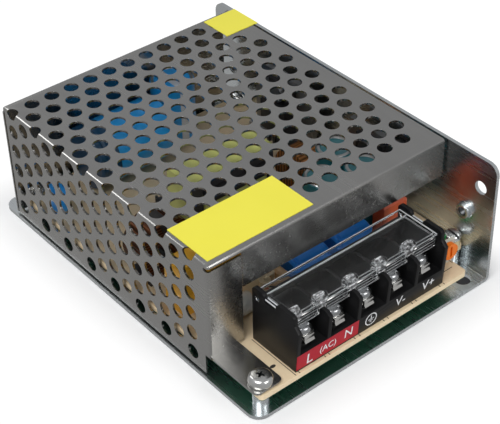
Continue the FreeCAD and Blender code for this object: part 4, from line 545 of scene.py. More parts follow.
@dataclass(frozen=True)
class Laminate:
    """Paper-phenolic board: tan face, and a green solder side seen on edge and below."""

    name: str
    under: float
    tan: Color = (0.88, 0.73, 0.50)
    tan_shade: Color = (0.66, 0.50, 0.31)
    green: Color = (0.025, 0.17, 0.09)
    green_shade: Color = (0.012, 0.10, 0.055)
    mask_height: float = 0.12 * MM
    roughness: float = 0.5
    coat: float = 0.15
    fibre_scale: float = 900.0
    cloud_scale: float = 70.0
    cloud_share: float = 0.6

    def material(self) -> bpy.types.Material:
        """Lays fibres and clouds over both sides.

        Returns:
            The material.
        """
        paint = Paint(self.name, Roughness=self.roughness, Coat_Weight=self.coat)
        height = paint.axes()[Axis.Z]
        fibre = paint.noise(self.fibre_scale, Detail.FIBROUS)
        cloud = paint.noise(self.cloud_scale)
        streaked = cloud * self.cloud_share + fibre * (1.0 - self.cloud_share)
        face = paint.mix(streaked, self.tan_shade, self.tan)
        mask = paint.mix(cloud, self.green_shade, self.green)
        paint.set("Base Color", paint.mix(height < self.under + self.mask_height, face, mask))
        return paint.material


@dataclass(frozen=True)
class Sticker:
    """Glossy paper sticker."""

    name: str
    color: Color
    lift: float = 1.06
    base_lift: float = 0.01
    roughness: float = 0.32
    coat: float = 0.3
    cloud_scale: float = 60.0
    wave_scale: float = 190.0
    wave_depth: float = 0.3 * MM
    wave_strength: float = 0.4

    def material(self) -> bpy.types.Material:
        """Clouds the paper and lets it lie a little uneven.

        Returns:
            The material.
        """
        paint = Paint(self.name, Roughness=self.roughness, Coat_Weight=self.coat)
        pale = tuple(min(1.0, part * self.lift + self.base_lift) for part in self.color)
        paint.set("Base Color", paint.mix(paint.noise(self.cloud_scale), self.color, pale))
        paint.bump(paint.noise(self.wave_scale, Detail.SOFT), self.wave_depth, self.wave_strength)
        return paint.material


@dataclass(frozen=True)
class Banded:
    """Pale resistor body with coloured rings round its upright axis."""

    name: str
    rings: tuple[tuple[float, Color], ...]
    body: Color = (0.62, 0.52, 0.36)
    soil: Color = (0.1, 0.08, 0.06)
    soil_share: float = 0.25
    ring_width: float = 0.8 * MM
    roughness: float = 0.4
    cloud_scale: float = 300.0

    def material(self) -> bpy.types.Material:
        """Paints the rings one after another and soils the whole.

        Returns:
            The material.
        """
        paint = Paint(self.name, Roughness=self.roughness)
        height = paint.axes()[Axis.Z]
        color: Value | Color = self.body
        for foot, ring in self.rings:
            color = paint.mix(height.within(foot, foot + self.ring_width), color, ring)
        soiled = paint.noise(self.cloud_scale) * self.soil_share
        paint.set("Base Color", paint.mix(soiled, color, self.soil))
        return paint.material


@dataclass(frozen=True)
class Lens:
    """Tinted lens of a small lamp."""

    name: str
    color: Color
    roughness: float = 0.15
    clear: float = 0.35
    bending: float = 1.5

    def material(self) -> bpy.types.Material:
        """Tints the lens evenly."""
        return Paint(self.name, Base_Color=self.color, Roughness=self.roughness,
                     Transmission_Weight=self.clear, IOR=self.bending).material


# Modelling steps


class Kind(Enum):
    """What is selected on a mesh."""

    FACE = "faces"
    EDGE = "edges"
    VERT = "verts"


def on_plane(axis: Axis, place: float) -> Test:
    """Test for what lies on a plane square to an axis."""
    return lambda middle, _: abs(middle[axis] - place) < NEAR


def middle_of(node: str) -> Spot:
    """Middle of a CAD node, seen from above."""
    low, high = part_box(node)
    return (low[0] + high[0]) / 2, (low[1] + high[1]) / 2


class Bench:
    """Hand modelling steps on one active mesh."""

    @staticmethod
    def clear() -> None:
        """Deselects everything."""
        if bpy.context.object and bpy.context.object.mode != "OBJECT":
            bpy.ops.object.mode_set(mode="OBJECT")
        bpy.ops.object.select_all(action="DESELECT")

    @staticmethod
    def activate(obj: bpy.types.Object) -> None:
        """Makes one object the only selected and active one.

        Args:
            obj: The object.
        """
        Bench.clear()
        obj.select_set(True)
        bpy.context.view_layer.objects.active = obj

    @staticmethod
    def named(name: str) -> bpy.types.Object:
        """Names the active object and its mesh, and moves its place, turn and scale into the mesh.

        Args:
            name: Name of the piece.

        Returns:
            The object.
        """
        obj = bpy.context.object
        obj.name = name
        obj.data.name = name
        bpy.ops.object.transform_apply(location=True, rotation=True, scale=True)
        return obj

    @staticmethod
    def cuboid(name: str, low: Point, high: Point) -> bpy.types.Object:
        """Cube primitive between two corners.

        Args:
            name: Name of the piece.
            low: Its lowest corner.
            high: Its highest corner.

        Returns:
            The new object.
        """
        Bench.clear()
        middle = [(start + end) / 2 for start, end in zip(low, high)]
        bpy.ops.mesh.primitive_cube_add(size=1.0, location=middle)
        bpy.context.object.scale = [end - start for start, end in zip(low, high)]
        return Bench.named(name)

    @staticmethod
    def rod(name: str, centre: Point, radius: float, depth: float, turn: Point = UNTURNED, sides: int = 32,
            squeeze: Point = FULL_SIZE) -> bpy.types.Object:
        """Cylinder primitive about its centre, turned and squeezed.

        Args:
            name: Name of the piece.
            centre: Middle of the cylinder.
            radius: Its radius.
            depth: Its length.
            turn: Euler angles in radians.
            sides: Sides of the rim.
            squeeze: Scale along its own axes.

        Returns:
            The new object.
        """
        Bench.clear()
        bpy.ops.mesh.primitive_cylinder_add(
            vertices=sides, radius=radius, depth=depth, location=centre, rotation=turn)
        bpy.context.object.scale = squeeze
        return Bench.named(name)

    @staticmethod
    @contextmanager
    def editing(obj: bpy.types.Object) -> Iterator[None]:
        """Opens a piece for editing with nothing selected, and closes it again.

        Args:
            obj: The object.

        Yields:
            Nothing: the piece is open until the block ends.
        """
        Bench.activate(obj)
        bpy.ops.object.mode_set(mode="EDIT")
        bpy.ops.mesh.select_mode(type="VERT")
        bpy.ops.mesh.select_all(action="DESELECT")
        yield
        bpy.ops.object.mode_set(mode="OBJECT")

    @staticmethod
    def choose(obj: bpy.types.Object, kind: Kind, test: Test) -> None:
        """Selects what passes a test on a piece that is open for editing.

        Args:
            obj: The object.
            kind: Faces, edges or corners.
            test: Takes the middle of the element and the element.
        """
        bpy.ops.mesh.select_mode(type=kind.name)
        bpy.ops.mesh.select_all(action="DESELECT")
        mesh = bmesh.from_edit_mesh(obj.data)
        for part in getattr(mesh, kind.value):
            if kind is Kind.FACE:
                middle = part.calc_center_median()
            elif kind is Kind.EDGE:
                middle = (part.verts[0].co + part.verts[1].co) / 2
            else:
                middle = part.co
            if test(middle, part):
                part.select_set(True)
        bmesh.update_edit_mesh(obj.data)

    @staticmethod
    def slice_faces(obj: bpy.types.Object, test: Test, axis: Axis, place: float) -> None:
        """Cuts the faces that pass a test by a plane square to an axis.

        Args:
            obj: The object, open for editing.
            test: Picks the faces.
            axis: Axis that the plane is square to.
            place: Where the plane crosses it.
        """
        Bench.choose(obj, Kind.FACE, test)
        normal = [float(other is axis) for other in Axis]
        bpy.ops.mesh.bisect(plane_co=[place * part for part in normal], plane_no=normal)

    @staticmethod
    def merge(distance: float) -> None:
        """Makes one corner of those that lie together on the piece that is open for editing."""
        bpy.ops.mesh.select_all(action="SELECT")
        bpy.ops.mesh.remove_doubles(threshold=distance)

    @staticmethod
    def modifier(obj: bpy.types.Object, kind: str, **settings: object) -> None:
        """Adds one modifier and applies it.

        Args:
            obj: The object.
            kind: Type of the modifier.
            settings: Its attributes.
        """
        Bench.activate(obj)
        added = obj.modifiers.new(kind.title(), kind)
        for key, value in settings.items():
            setattr(added, key, value)
        bpy.ops.object.modifier_apply(modifier=added.name)

    @staticmethod
    def rounded(obj: bpy.types.Object, width: float, segments: int, angle: float = SHARP_ANGLE,
                slot: int = -1) -> None:
        """Rounds the edges that are sharper than an angle.

        Args:
            obj: The object.
            width: Width of the rounding.
            segments: Its steps.
            angle: The angle in degrees.
            slot: Material slot of the new faces, or -1 for that of their neighbours.
        """
        Bench.modifier(obj, "BEVEL", width=width, segments=segments, limit_method="ANGLE",
                       angle_limit=math.radians(angle), material=slot)

    @staticmethod
    def cut(obj: bpy.types.Object, tool: bpy.types.Object, **settings: object) -> None:
        """Takes the volume of a tool out of a piece, and removes the tool.

        Args:
            obj: The object.
            tool: Solid that is taken out.
            settings: Further attributes of the cut.
        """
        Bench.modifier(obj, "BOOLEAN", object=tool, operation="DIFFERENCE", solver="EXACT", **settings)
        bpy.data.objects.remove(tool)

    @staticmethod
    def turned(name: str, profile: Sequence[Spot], place: Point, steps: int = 36) -> bpy.types.Object:
        """Body turned about an upright axis from a half outline.

        Args:
            name: Name of the piece.
            profile: Radius and height of each corner, from the axis and back to it, or a closed ring.
            place: Foot of the axis.
            steps: Steps round the axis.

        Returns:
            The new object.
        """
        Bench.clear()
        bpy.ops.mesh.primitive_plane_add(size=MM)
        obj = bpy.context.object
        with Bench.editing(obj):
            bpy.ops.mesh.select_all(action="SELECT")
            bpy.ops.mesh.merge(type="CENTER")
            bpy.ops.transform.translate(value=(profile[0][0], 0, profile[0][1]))
            for (radius, height), (next_radius, next_height) in zip(profile, profile[1:]):
                step = (next_radius - radius, 0, next_height - height)
                bpy.ops.mesh.extrude_vertices_move(TRANSFORM_OT_translate={"value": step})
            bpy.ops.mesh.select_all(action="SELECT")
            bpy.ops.mesh.spin(steps=steps, angle=2 * math.pi, center=(0, 0, 0), axis=(0, 0, 1))
            Bench.merge(NEAR)
            bpy.ops.mesh.normals_make_consistent(inside=False)
        obj.location = place
        return Bench.named(name)

    @staticmethod
    def copied(node: str, name: str) -> bpy.types.Object:
        """Own copy of a CAD solid, still as loose triangles.

        Args:
            node: CAD node that is copied.
            name: Name of the copy.

        Returns:
            The new object.
        """
        copy = bpy.data.objects.new(name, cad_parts[node].data.copy())
        bpy.context.collection.objects.link(copy)
        Bench.activate(copy)
        bpy.ops.mesh.customdata_custom_splitnormals_clear()
        return copy

    @staticmethod
    def softened(node: str, name: str, width: float, rim_slot: bool = False) -> bpy.types.Object:
        """Own copy of a CAD solid with its edges rounded.

        Args:
            node: CAD node that is copied.
            name: Name of the piece.
            width: Width of the rounding.
            rim_slot: True where the rounding takes the second material slot.

        Returns:
            The new object.
        """
        copy = Bench.copied(node, name)
        with Bench.editing(copy):
            Bench.merge(SEAM)
            bpy.ops.mesh.dissolve_limited(angle_limit=math.radians(FLAT_ANGLE))
        if rim_slot:
            copy.data.materials.clear()
            copy.data.materials.append(None)
            copy.data.materials.append(None)
        Bench.rounded(copy, width, 2, slot=1 if rim_slot else -1)
        return copy

    @staticmethod
    def join(name: str, parts: Sequence[bpy.types.Object]) -> bpy.types.Object:
        """Joins several objects into one.

        Args:
            name: Name of the piece.
            parts: The objects, of which the first is kept.

        Returns:
            The joined object.
        """
        Bench.activate(parts[0])
        for part in parts:
            part.select_set(True)
        if len(parts) > 1:
            bpy.ops.object.join()
        return Bench.named(name)

    @staticmethod
    def finish(obj: bpy.types.Object, body: str, *materials: bpy.types.Material,
               smooth: float = SHARP_ANGLE) -> None:
        """Shades a piece, fills its material slots and lets it ride on a body.

        Args:
            obj: The piece.
            body: Body that carries it.
            materials: Material of each slot.
            smooth: Edges flatter than this angle in degrees look round.
        """
        Bench.activate(obj)
        bpy.ops.object.shade_smooth_by_angle(angle=math.radians(smooth))
        places = [face.material_index for face in obj.data.polygons]
        obj.data.materials.clear()
        for material in materials:
            obj.data.materials.append(material)
        if len(materials) > 1:
            for face, place in zip(obj.data.polygons, places):
                face.material_index = place
        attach(obj, body)
        LOG.info("  modelled %s", obj.name)


def dress(finish: Finish, *nodes: str) -> bpy.types.Material:
    """Puts one finish on CAD nodes.

    Args:
        finish: The finish.
        nodes: Names of the nodes.

    Returns:
        The finish's material.
    """
    material = finish.material()
    for name in nodes:
        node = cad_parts[name]
        if not node.material_slots:
            node.data.materials.append(material)
        for slot in node.material_slots:
            slot.material = material
        LOG.info("  dressed %s", name)
    return material


# Screws


class Drive(Enum):
    """What a screwdriver finds in a head."""

    CROSS = (0.0, QUARTER)
    SLOT = (0.0,)


@dataclass
class PanHead:
    """Pan-head screw with a cross recess or a slot. Shares are of the head's radius and height."""

    seat: float
    radius: float
    height: float
    shank: float
    foot: float
    drive: Drive = Drive.CROSS
    turn: float = 0.5
    dome: tuple[Spot, ...] = (
        (0.96, 0.0), (1.0, 0.1), (1.0, 0.38), (0.96, 0.6),
        (0.88, 0.8), (0.76, 0.93), (0.6, 0.98), (0.0, 1.0),
    )
    cross_reach: float = 0.62
    slot_reach: float = 1.2
    blade: float = 0.13
    sink: float = 0.5
    crown: float = 0.95
    taper: Point = (0.3, 0.6, 1.0)

    def build(self, name: str, axis: Spot, metal: bpy.types.Material,
              recess: bpy.types.Material) -> bpy.types.Object:
        """Turns the screw and sinks its recess.

        Args:
            name: Name of the piece.
            axis: Place of its axis, seen from above.
            metal: Finish of the screw.
            recess: Finish of the recess's own faces, which are painted dark as painted shade.

        Returns:
            The screw.
        """
        foot = self.foot - self.seat
        profile = [(0.0, foot), (self.shank, foot), (self.shank, 0.0)]
        profile += [(self.radius * across, self.height * up) for across, up in self.dome]
        screw = Bench.turned(name, profile, (*axis, self.seat))
        screw.data.materials.append(metal)
        for turn in self.drive.value:
            blade = self._blade()
            blade.rotation_euler = (0, 0, turn + self.turn)
            blade.location = (*axis, self.seat + self.height * self.crown)
            blade = Bench.join("blade", [blade])
            blade.data.materials.append(recess)
            Bench.cut(screw, blade, material_mode="TRANSFER")
        return screw

    def _blade(self) -> bpy.types.Object:
        """Blade that cuts the slot or one wing of the cross, which narrows towards its foot.

        Returns:
            The blade, at the origin.
        """
        crossed = self.drive is Drive.CROSS
        reach = self.radius * (self.cross_reach if crossed else self.slot_reach)
        half = self.radius * self.blade
        foot = -self.height * self.sink
        blade = Bench.cuboid("blade", (-reach, -half, foot), (reach, half, self.height))
        if crossed:
            with Bench.editing(blade):
                Bench.choose(blade, Kind.FACE, on_plane(Axis.Z, foot))
                bpy.ops.transform.resize(value=self.taper)
        return blade


# Case


@dataclass(frozen=True)
class Punch:
    """Where one punch goes through the sheet, how it leans and how it is squeezed."""

    centre: Point
    turn: Point = UNTURNED
    squeeze: Point = FULL_SIZE


@dataclass
class PerforatedCover:
    """Roof, side wall and flanges folded from one sheet, with a staggered lattice of round holes.

    Places and lengths are in metres, fold_angle is in radians and smooth in degrees.
    """

    left: float = -38.45 * MM
    right: float = 37.3 * MM
    front: float = -37.95 * MM
    rear: float = 48.58 * MM
    roof: float = 36.0 * MM
    skirt: float = 1.6 * MM
    sheet: float = 0.55 * MM
    bend: float = 0.7 * MM
    bend_steps: int = 3
    deburr: float = 0.06 * MM
    tab_top: float = 8.4 * MM
    tab_corner: float = 1.5 * MM
    tab_steps: int = 5
    board: float = 7.6 * MM
    flange_foot: float = 24.8 * MM
    flange_start: float = -28.3 * MM
    side_flange_end: float = -28.6 * MM
    seam_top: float = 35.2 * MM
    seam_foot: float = 34.3 * MM
    toe_rear: float = -35.6 * MM
    relief_rear: float = -36.35 * MM
    tab_front: float = -54.4 * MM
    tab_right: float = -30.2 * MM
    rear_end: float = 35.0 * MM
    seam_rear: float = 47.43 * MM
    hole_radius: float = 2.0 * MM
    hole_pitch: float = 6.15 * MM
    hole_sides: int = 24
    row_pitch: float = 5.35 * MM
    first_row: float = -30.7 * MM
    last_hole: float = 32.7 * MM
    first_side: float = 33.1 * MM
    rows: int = 15
    roof_holes: int = 12
    side_holes: int = 5
    fold_inset: float = 0.5 * MM
    fold_squeeze: float = 0.72
    fold_reach: float = 1.3
    punch_reach: float = 4.0
    fold_angle: float = 1.0
    smooth: float = 25.0

    def build(self) -> bpy.types.Object:
        """Models the folded sheet and punches it.

        Returns:
            The cover.
        """
        cover = self._folded()
        Bench.modifier(cover, "SOLIDIFY", thickness=self.sheet, offset=-1.0, use_even_offset=True)
        Bench.cut(cover, self._punches(), use_hole_tolerant=True)
        Bench.rounded(cover, self.deburr, 1, CORNER_ANGLE)
        return cover

    def _folded(self) -> bpy.types.Object:
        """Outer skin of the sheet: a cuboid opened and cut to the flanges, with its folds rounded.

        Returns:
            The skin, without thickness.
        """
        low = (self.left, self.front, self.skirt)
        high = (self.right, self.rear, self.roof)
        cover = Bench.cuboid("cover_sheet", low, high)
        front_wall = on_plane(Axis.Y, self.front)
        left_wall = on_plane(Axis.X, self.left)
        with Bench.editing(cover):
            for face in (on_plane(Axis.Z, self.skirt), on_plane(Axis.X, self.right)):
                Bench.choose(cover, Kind.FACE, face)
                bpy.ops.mesh.delete(type="FACE")
            for x in (self.flange_start, self.side_flange_end, self.tab_right):
                Bench.slice_faces(cover, front_wall, Axis.X, x)
            for z in (self.flange_foot, self.seam_foot, self.seam_top, self.tab_top):
                Bench.slice_faces(cover, front_wall, Axis.Z, z)
            for y in (self.toe_rear, self.relief_rear, self.seam_rear):
                Bench.slice_faces(cover, left_wall, Axis.Y, y)
            for z in (self.board, self.seam_foot, self.seam_top):
                Bench.slice_faces(cover, left_wall, Axis.Z, z)
            Bench.slice_faces(cover, on_plane(Axis.Y, self.rear), Axis.X, self.rear_end)
            Bench.choose(cover, Kind.FACE, self._is_open)
            bpy.ops.mesh.delete(type="FACE")
            Bench.choose(cover, Kind.EDGE, self._is_tab_root)
            reach = (0, self.tab_front - self.front, 0)
            bpy.ops.mesh.extrude_region_move(TRANSFORM_OT_translate={"value": reach})
            Bench.choose(cover, Kind.VERT, self._is_tab_corner)
            bpy.ops.mesh.bevel(offset=self.tab_corner, segments=self.tab_steps, affect="VERTICES")
            Bench.choose(cover, Kind.EDGE, self._is_fold)
            bpy.ops.mesh.bevel(offset=self.bend, segments=self.bend_steps, affect="EDGES")
        return cover

    def _is_open(self, middle: Vector, _: object) -> bool:
        """Test for the parts of the cuboid that the real sheet lacks.

        Args:
            middle: Middle of a face.

        Returns:
            True where the sheet is cut away.
        """
        x, y, z = middle
        in_seam = self.seam_foot < z < self.seam_top
        if abs(y - self.front) < NEAR:
            if x < self.side_flange_end:
                return in_seam or z < self.tab_top
            if x < self.flange_start:
                return z < self.seam_top
            return z < self.flange_foot
        if abs(x - self.left) < NEAR:
            if y < self.toe_rear and z < self.board:
                return True
            if y > self.seam_rear and z < self.seam_top:
                return True
            return y < self.relief_rear and in_seam
        return abs(y - self.rear) < NEAR and x > self.rear_end

    def _is_tab_root(self, middle: Vector, edge: bmesh.types.BMEdge) -> bool:
        """Test for the bottom edges of the side flange, from which the tab is folded.

        Args:
            middle: Middle of an edge.
            edge: The edge.

        Returns:
            True for such an edge.
        """
        level = abs(middle.z - self.tab_top) < NEAR
        flat = abs(edge.verts[0].co.z - edge.verts[1].co.z) < NEAR
        return level and flat and abs(middle.y - self.front) < NEAR and middle.x < self.tab_right

    def _is_tab_corner(self, middle: Vector, _: object) -> bool:
        """Test for the two front corners of the tab."""
        ends = abs(middle.x - self.left) < NEAR or abs(middle.x - self.tab_right) < NEAR
        return ends and abs(middle.y - self.tab_front) < NEAR

    def _is_fold(self, middle: Vector, edge: bmesh.types.BMEdge) -> bool:
        """Test for the folds round the roof and down the front left corner.

        Args:
            middle: Middle of an edge.
            edge: The edge.

        Returns:
            True for a fold.
        """
        if len(edge.link_faces) != 2:
            return False
        angle = edge.link_faces[0].normal.angle(edge.link_faces[1].normal)
        return angle > self.fold_angle and middle.z > self.tab_top + self.sheet

    def _lattice(self) -> list[Punch]:
        """Every hole of the roof, the side and the fold between them, whose rows are staggered.

        Returns:
            One punch for each hole.
        """
        punches = []
        for row in range(self.rows):
            y = self.first_row + row * self.row_pitch
            shifted = row % 2 == 0
            shift = self.hole_pitch / 2 if shifted else 0.0
            for index in range(self.roof_holes - int(shifted)):
                x = self.last_hole - shift - index * self.hole_pitch
                punches.append(Punch((x, y, self.roof)))
            for index in range(self.side_holes):
                z = self.first_side - shift - index * self.hole_pitch
                punches.append(Punch((self.left, y, z), (0.0, QUARTER, 0.0)))
            if shifted:
                fold = (self.left + self.fold_inset, y, self.roof - self.fold_inset)
                squeeze = (self.fold_squeeze, 1.0, self.fold_reach)
                punches.append(Punch(fold, (0.0, -QUARTER / 2, 0.0), squeeze))
        return punches

    def _punches(self) -> bpy.types.Object:
        """Round punches for the whole lattice, each a copy of one.

        Returns:
            The punches as one object.
        """
        depth = self.sheet * self.punch_reach
        first = Bench.rod("punch", ORIGIN, self.hole_radius, depth, sides=self.hole_sides)
        copies = []
        for punch in self._lattice():
            copy = first.copy()
            copy.data = first.data.copy()
            bpy.context.collection.objects.link(copy)
            copy.location = punch.centre
            copy.rotation_euler = punch.turn
            copy.scale = punch.squeeze
            copies.append(copy)
        bpy.data.objects.remove(first)
        return Bench.join("punches", copies)

    def dress(self) -> None:
        """Satin plated steel."""
        steel = SheetSteel("cover_steel", (0.44, 0.435, 0.42), (0.345, 0.34, 0.33), roughness=0.25)
        cover = self.build()
        Bench.finish(cover, "case", steel.material(), smooth=self.smooth)
        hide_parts("perforated_cover")


@dataclass
class TappedCollars:
    """Two collars drawn out of the right wall, each a rounded rim round a thread.

    The rim's outline and the thread are in millimetres: distance from the collar's axis, and height over
    the wall.
    """

    wall: float = 38.0 * MM
    along: float = 46.0 * MM
    level: float = 18.2 * MM
    rim: tuple[Spot, ...] = (
        (1.4, -0.6), (2.45, -0.05), (2.26, 0.12), (2.2, 0.5), (2.2, 1.05),
        (2.1, 1.28), (1.9, 1.42), (1.65, 1.4), (1.42, 1.22),
    )
    bore: float = 1.42
    groove: float = 1.3
    crest: float = 1.08
    thread_foot: float = -0.85
    thread_top: float = 1.15
    first_groove: float = -0.8
    first_crest: float = -0.55
    pitch: float = 0.5
    turns: int = 4

    def _ring(self, name: str, outline: Sequence[Spot]) -> bpy.types.Object:
        """The same ring at both collars, turned from a closed outline.

        Args:
            name: Name of the piece.
            outline: Corners in millimetres.

        Returns:
            Both rings as one object.
        """
        profile = [(radius * MM, height * MM) for radius, height in (*outline, outline[0])]
        rings = []
        for along in (-self.along, self.along):
            ring = Bench.turned(name, profile, ORIGIN)
            ring.rotation_euler = (0, -QUARTER, 0)
            ring.location = (self.wall, along, self.level)
            rings.append(ring)
        return Bench.join(name, rings)

    def _thread(self) -> list[Spot]:
        """Outline of the thread, with a groove and a crest for each turn.

        Returns:
            Corners in millimetres.
        """
        thread = [(self.bore, self.thread_foot)]
        for turn in range(self.turns):
            thread.append((self.groove, self.first_groove + turn * self.pitch))
            thread.append((self.crest, self.first_crest + turn * self.pitch))
        thread.append((self.bore, self.thread_top))
        return thread

    def dress(self, steel: bpy.types.Material) -> None:
        """Bright rims, and threads painted dark as painted shade inside the holes.

        Args:
            steel: Finish of the wall.
        """
        Bench.finish(self._ring("collar_rims", self.rim), "case", steel)
        # Painted shade: the threads are coloured dark where shade falls inside the collars.
        dark = Plated("thread_shade", (0.13, 0.135, 0.14), roughness=0.34).material()
        Bench.finish(self._ring("collar_threads", self._thread()), "case", dark)


@dataclass
class Chassis:
    """Folded base with its board fixings, the cover's screw and the tapped collars."""

    board_head: float = 1.5 * MM
    board_radius: float = 2.35 * MM
    board_turn: float = 1.5
    tab_head: float = 2.3 * MM
    tab_radius: float = 3.05 * MM
    shank: float = 1.4 * MM

    def dress(self) -> None:
        """Bright plated base and zinc screws."""
        steel = SheetSteel("base_steel", (0.70, 0.73, 0.74), (0.58, 0.61, 0.62), roughness=0.27, smudge=0.06)
        base = dress(steel, "base_chassis", "board_standoffs")
        zinc = Plated("zinc").material()
        self._board_screws(zinc)
        dress(Moulded("spacer_tan", (0.80, 0.68, 0.42), roughness=0.4, coat=0.2), "screw_washers")
        self._tab_screw(zinc)
        TappedCollars().dress(base)

    def _tab_screw(self, zinc: bpy.types.Material) -> None:
        """Cross-head screw in the cover's front tab.

        Args:
            zinc: Finish of the screw.
        """
        # Painted shade: the cross recess is coloured dark where shade falls in it.
        recess = Plated("recess", (0.10, 0.11, 0.11), roughness=0.4).material()
        low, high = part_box("cover_screw")
        head = PanHead(high[2] - self.tab_head, self.tab_radius, self.tab_head, self.shank, low[2])
        screw = head.build("tab_screw", middle_of("cover_screw"), zinc, recess)
        Bench.finish(screw, "case", zinc, recess)
        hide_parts("cover_screw")

    def _board_screws(self, zinc: bpy.types.Material) -> None:
        """Slotted screws that hold the board, turned one by one at the CAD screws' places.

        Args:
            zinc: Finish of the screws.
        """
        # Painted shade: the slots are coloured dark where shade falls in them.
        recess = Plated("slot_shade", (0.24, 0.25, 0.25), roughness=0.4).material()
        centres = self._centres("board_screws")
        low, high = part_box("board_screws")
        head = PanHead(high[2] - self.board_head, self.board_radius, self.board_head, self.shank, low[2],
                       Drive.SLOT, self.board_turn)
        screws = [head.build("board_screw", centre, zinc, recess) for centre in centres]
        joined = Bench.join("board_screw_set", screws)
        Bench.finish(joined, "case", zinc, recess)
        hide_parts("board_screws")

    @staticmethod
    def _centres(node: str) -> list[Spot]:
        """Middles of the separate solids of a node, seen from above.

        Args:
            node: The CAD node.

        Returns:
            One place for each solid.
        """
        copy = Bench.copied(node, "parts")
        with Bench.editing(copy):
            Bench.merge(SEAM)
            bpy.ops.mesh.separate(type="LOOSE")
        middles = []
        for part in list(bpy.context.selected_objects):
            xs = [vert.co.x for vert in part.data.vertices]
            ys = [vert.co.y for vert in part.data.vertices]
            middles.append(((min(xs) + max(xs)) / 2, (min(ys) + max(ys)) / 2))
            bpy.data.objects.remove(part)
        return middles


@dataclass
class Labels:
    """Bare yellow stickers."""

    def dress(self) -> None:
        """One yellow for both."""
        dress(Sticker("yellow_sticker", (0.77, 0.705, 0.05)), "front_label", "seal_label")


# Board and what it carries


@dataclass
class Board:
    """Circuit board with its printed marks. The places of the marks are in millimetres."""

    top: float = 7.6 * MM
    under: float = 6.0 * MM
    film: float = 0.03 * MM
    film_edge: float = 0.01 * MM
    ticks: tuple[float, ...] = (-25.5, -17.4, -16.1, -7.9, -6.3, 1.7, 3.1, 11.3, 12.7, 21.0, 22.5)
    tick_half: float = 0.12
    tick_front: float = -54.75
    tick_rear: float = -54.05
    lines: tuple[tuple[Spot, Spot], ...] = (
        ((24.0, -51.4), (28.7, -51.2)),
        ((24.0, -51.4), (24.2, -47.0)),
        ((29.9, -50.2), (30.1, -46.0)),
        ((-26.85, -54.7), (-26.65, -38.6)),
    )
    spot: Spot = (-28.9, -48.9)
    spot_radius: float = 0.8 * MM
    spot_squeeze: float = 0.6
    spot_sides: int = 20

    def dress(self) -> None:
        """Laminate and ink."""
        dress(Laminate("board_laminate", self.under), "circuit_board")
        ink = Moulded("board_ink", (0.03, 0.025, 0.02), roughness=0.6).material()
        Bench.finish(self._print(), "case", ink)

    def _print(self) -> bpy.types.Object:
        """Printed ticks along the block, the outline round the trimmer and a spot.

        Returns:
            The print as one object.
        """
        marks = []
        for x in self.ticks:
            low = (x - self.tick_half, self.tick_front)
            high = (x + self.tick_half, self.tick_rear)
            marks.append(self._mark(low, high))
        for low, high in self.lines:
            marks.append(self._mark(low, high))
        centre = (self.spot[0] * MM, self.spot[1] * MM, self.top)
        marks.append(Bench.rod("spot", centre, self.spot_radius, 2 * self.film, sides=self.spot_sides,
                               squeeze=(1.0, self.spot_squeeze, 1.0)))
        return Bench.join("board_print", marks)

    def _mark(self, low: Spot, high: Spot) -> bpy.types.Object:
        """One printed bar, as a raised film of ink.

        Args:
            low: Its front left corner in millimetres.
            high: Its rear right corner.

        Returns:
            The bar.
        """
        low_corner = (low[0] * MM, low[1] * MM, self.top)
        high_corner = (high[0] * MM, high[1] * MM, self.top + self.film)
        mark = Bench.cuboid("mark", low_corner, high_corner)
        Bench.rounded(mark, self.film_edge, 1)
        return mark


@dataclass
class FrontControls:
    """Output trimmer and power lamp."""

    def dress(self) -> None:
        """Orange rotor on a pale body, green lamp."""
        dress(Moulded("trimmer_ceramic", (0.62, 0.60, 0.52), roughness=0.45), "trimmer_body")
        dress(Moulded("orange_plastic", (0.90, 0.20, 0.008), roughness=0.36, shine=0.35), "trimmer_rotor")
        dress(Lens("lamp_green", (0.02, 0.42, 0.10)), "power_lamp")


